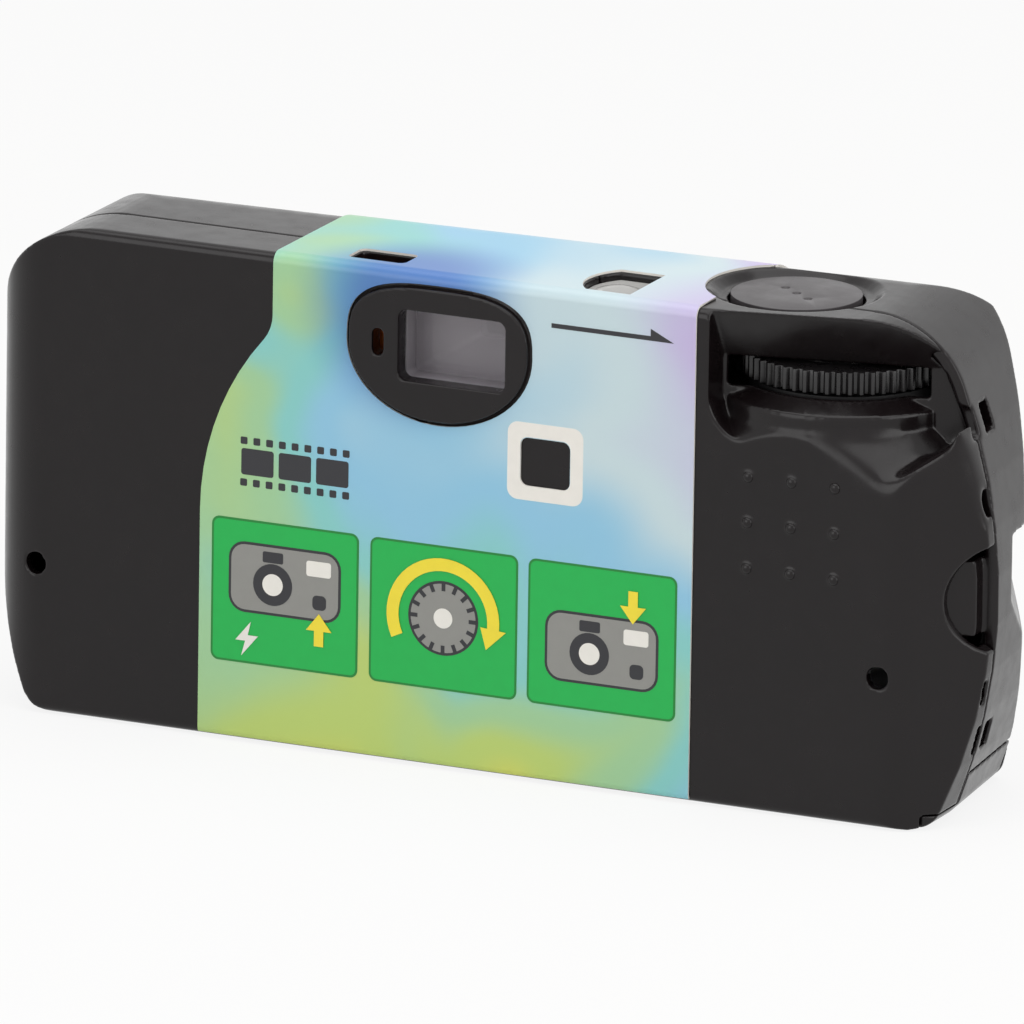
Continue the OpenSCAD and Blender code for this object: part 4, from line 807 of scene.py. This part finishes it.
class FILMCAM_OT_stage(bpy.types.Operator):
    """Sets the floor, the soft lights and the camera of the photograph's view"""
    bl_idname = "filmcam.stage"
    bl_label = "Stage"

    def execute(self, context):
        stage = context.scene.film_stage
        context.scene.view_settings.view_transform = "Standard"
        self.floor()
        self.world(context.scene, stage.room)
        powers = (stage.top_light, stage.side_light, stage.rear_light)
        for (name, (at, size)), power in zip(LIGHT_PANELS.items(), powers):
            self.panel_light(name, at, size, power)
        self.view(context, stage)
        return {"FINISHED"}

    def looked_at(self, tree):
        """1 where the camera, a gloss or a clear piece looks, and 0 to the light."""
        path = add_node(tree, "ShaderNodeLightPath").outputs
        through = add_node(tree, "ShaderNodeMath", {"operation": "MAXIMUM"}, {
            0: path["Is Camera Ray"], 1: path["Is Transmission Ray"]})
        seen = add_node(tree, "ShaderNodeMath", {"operation": "MAXIMUM"}, {
            0: through.outputs[0], 1: path["Is Glossy Ray"]})
        return seen.outputs[0]

    def floor(self):
        """A wide pale floor under the camera, near white where it is looked at, with a faint shadow."""
        side, gap = 6, 0.2 * MM
        shadow_share = 0.14
        bpy.ops.object.select_all(action="DESELECT")
        bpy.ops.mesh.primitive_plane_add(size=side, location=(0, 0, CAD_BOX[0].z - gap))
        piece = bpy.context.active_object
        piece.name = "floor"
        made = bpy.data.materials.new("pale_floor")
        made.use_nodes = True
        tree = made.node_tree
        tree.nodes.clear()
        plain = add_node(tree, "ShaderNodeBsdfDiffuse", inputs={"Color": (*linear("#e4e3e1"), 1)})
        glow = add_node(tree, "ShaderNodeEmission", inputs={"Color": (1, 1, 1, 1), "Strength": 1})
        share = add_node(tree, "ShaderNodeMapRange", inputs={
            0: self.looked_at(tree), 3: 0, 4: 1 - shadow_share})
        mixed = add_node(tree, "ShaderNodeMixShader", inputs={
            0: share.outputs[0], 1: plain.outputs[0], 2: glow.outputs[0]})
        add_node(tree, "ShaderNodeOutputMaterial", inputs={"Surface": mixed.outputs[0]})
        paint(piece, made)

    def world(self, scene, strength):
        """Even light, white where it is looked at."""
        made = bpy.data.worlds.new("studio")
        scene.world = made
        made.use_nodes = True
        tree = made.node_tree
        tree.nodes.clear()
        level = add_node(tree, "ShaderNodeMapRange", inputs={0: self.looked_at(tree), 3: strength, 4: 1})
        back = add_node(tree, "ShaderNodeBackground", inputs={
            "Color": (1, 1, 1, 1), "Strength": level.outputs[0]})
        add_node(tree, "ShaderNodeOutputWorld", inputs={"Surface": back.outputs[0]})

    def panel_light(self, name, at, size, power):
        """A soft square panel that faces the middle of the camera."""
        target = Vector((0, 0, 27 * MM))
        bpy.ops.object.light_add(type="AREA", location=at)
        lamp = bpy.context.active_object
        lamp.name = name
        lamp.data.shape = "SQUARE"
        lamp.data.size = size
        lamp.data.energy = power
        lamp.rotation_euler = (target - Vector(at)).to_track_quat("-Z", "Y").to_euler()

    def view(self, context, stage):
        """The near-parallel view from behind, the right and above."""
        sensor, far_clip = 36, 100
        a, e = stage.azimuth, stage.elevation
        back = Vector((math.sin(a) * math.cos(e), -math.cos(a) * math.cos(e), math.sin(e)))
        span = IMAGE_SIDE / stage.scale * MM
        away = span * stage.lens / sensor
        bpy.ops.object.camera_add()
        camera = context.active_object
        camera.name = "photo_view"
        camera.data.lens = stage.lens
        camera.data.sensor_width = sensor
        camera.data.clip_end = far_clip
        turn = (-back).to_track_quat("-Z", "Y").to_matrix() @ Matrix.Rotation(stage.roll, 3, "Z")
        right, up = turn @ Vector((1, 0, 0)), turn @ Vector((0, 1, 0))
        anchor = Vector((ANCHOR_X, REAR_Y, 0))
        offset = (Vector(ANCHOR_PIXEL) - Vector((IMAGE_SIDE / 2, IMAGE_SIDE / 2))) / stage.scale * MM
        centre = anchor - right * offset.x + up * offset.y
        camera.location = centre + back * away
        camera.rotation_euler = turn.to_euler()
        context.scene.camera = camera


class FILMCAM_PT_build(bpy.types.Panel):
    """Lists the steps that dress the camera"""
    bl_idname = "FILMCAM_PT_build"
    bl_label = "Film Camera"
    bl_space_type = "VIEW_3D"
    bl_region_type = "UI"
    bl_category = "Film Camera"

    def draw(self, context):
        for step in STEPS:
            self.layout.operator(step.bl_idname)
        for group in ("film_cover", "film_label", "film_stage"):
            settings = getattr(context.scene, group)
            for key in settings.__annotations__:
                self.layout.prop(settings, key)


SETTINGS = {"film_cover": CoverSettings, "film_label": LabelSettings, "film_stage": StageSettings}
STEPS = (FILMCAM_OT_inside, FILMCAM_OT_covers, FILMCAM_OT_label, FILMCAM_OT_print, FILMCAM_OT_controls,
         FILMCAM_OT_stage)
CLASSES = (*SETTINGS.values(), *STEPS, FILMCAM_PT_build)


def register():
    for made in CLASSES:
        bpy.utils.register_class(made)
    for name, kind in SETTINGS.items():
        setattr(bpy.types.Scene, name, PointerProperty(type=kind))


def unregister():
    for name in SETTINGS:
        delattr(bpy.types.Scene, name)
    for made in reversed(CLASSES):
        bpy.utils.unregister_class(made)


def main():
    register()
    bpy.ops.filmcam.inside()
    bpy.ops.filmcam.covers()
    bpy.ops.filmcam.label()
    bpy.ops.filmcam.print()
    bpy.ops.filmcam.controls()
    bpy.ops.filmcam.stage()


if __name__ == "__main__":
    main()
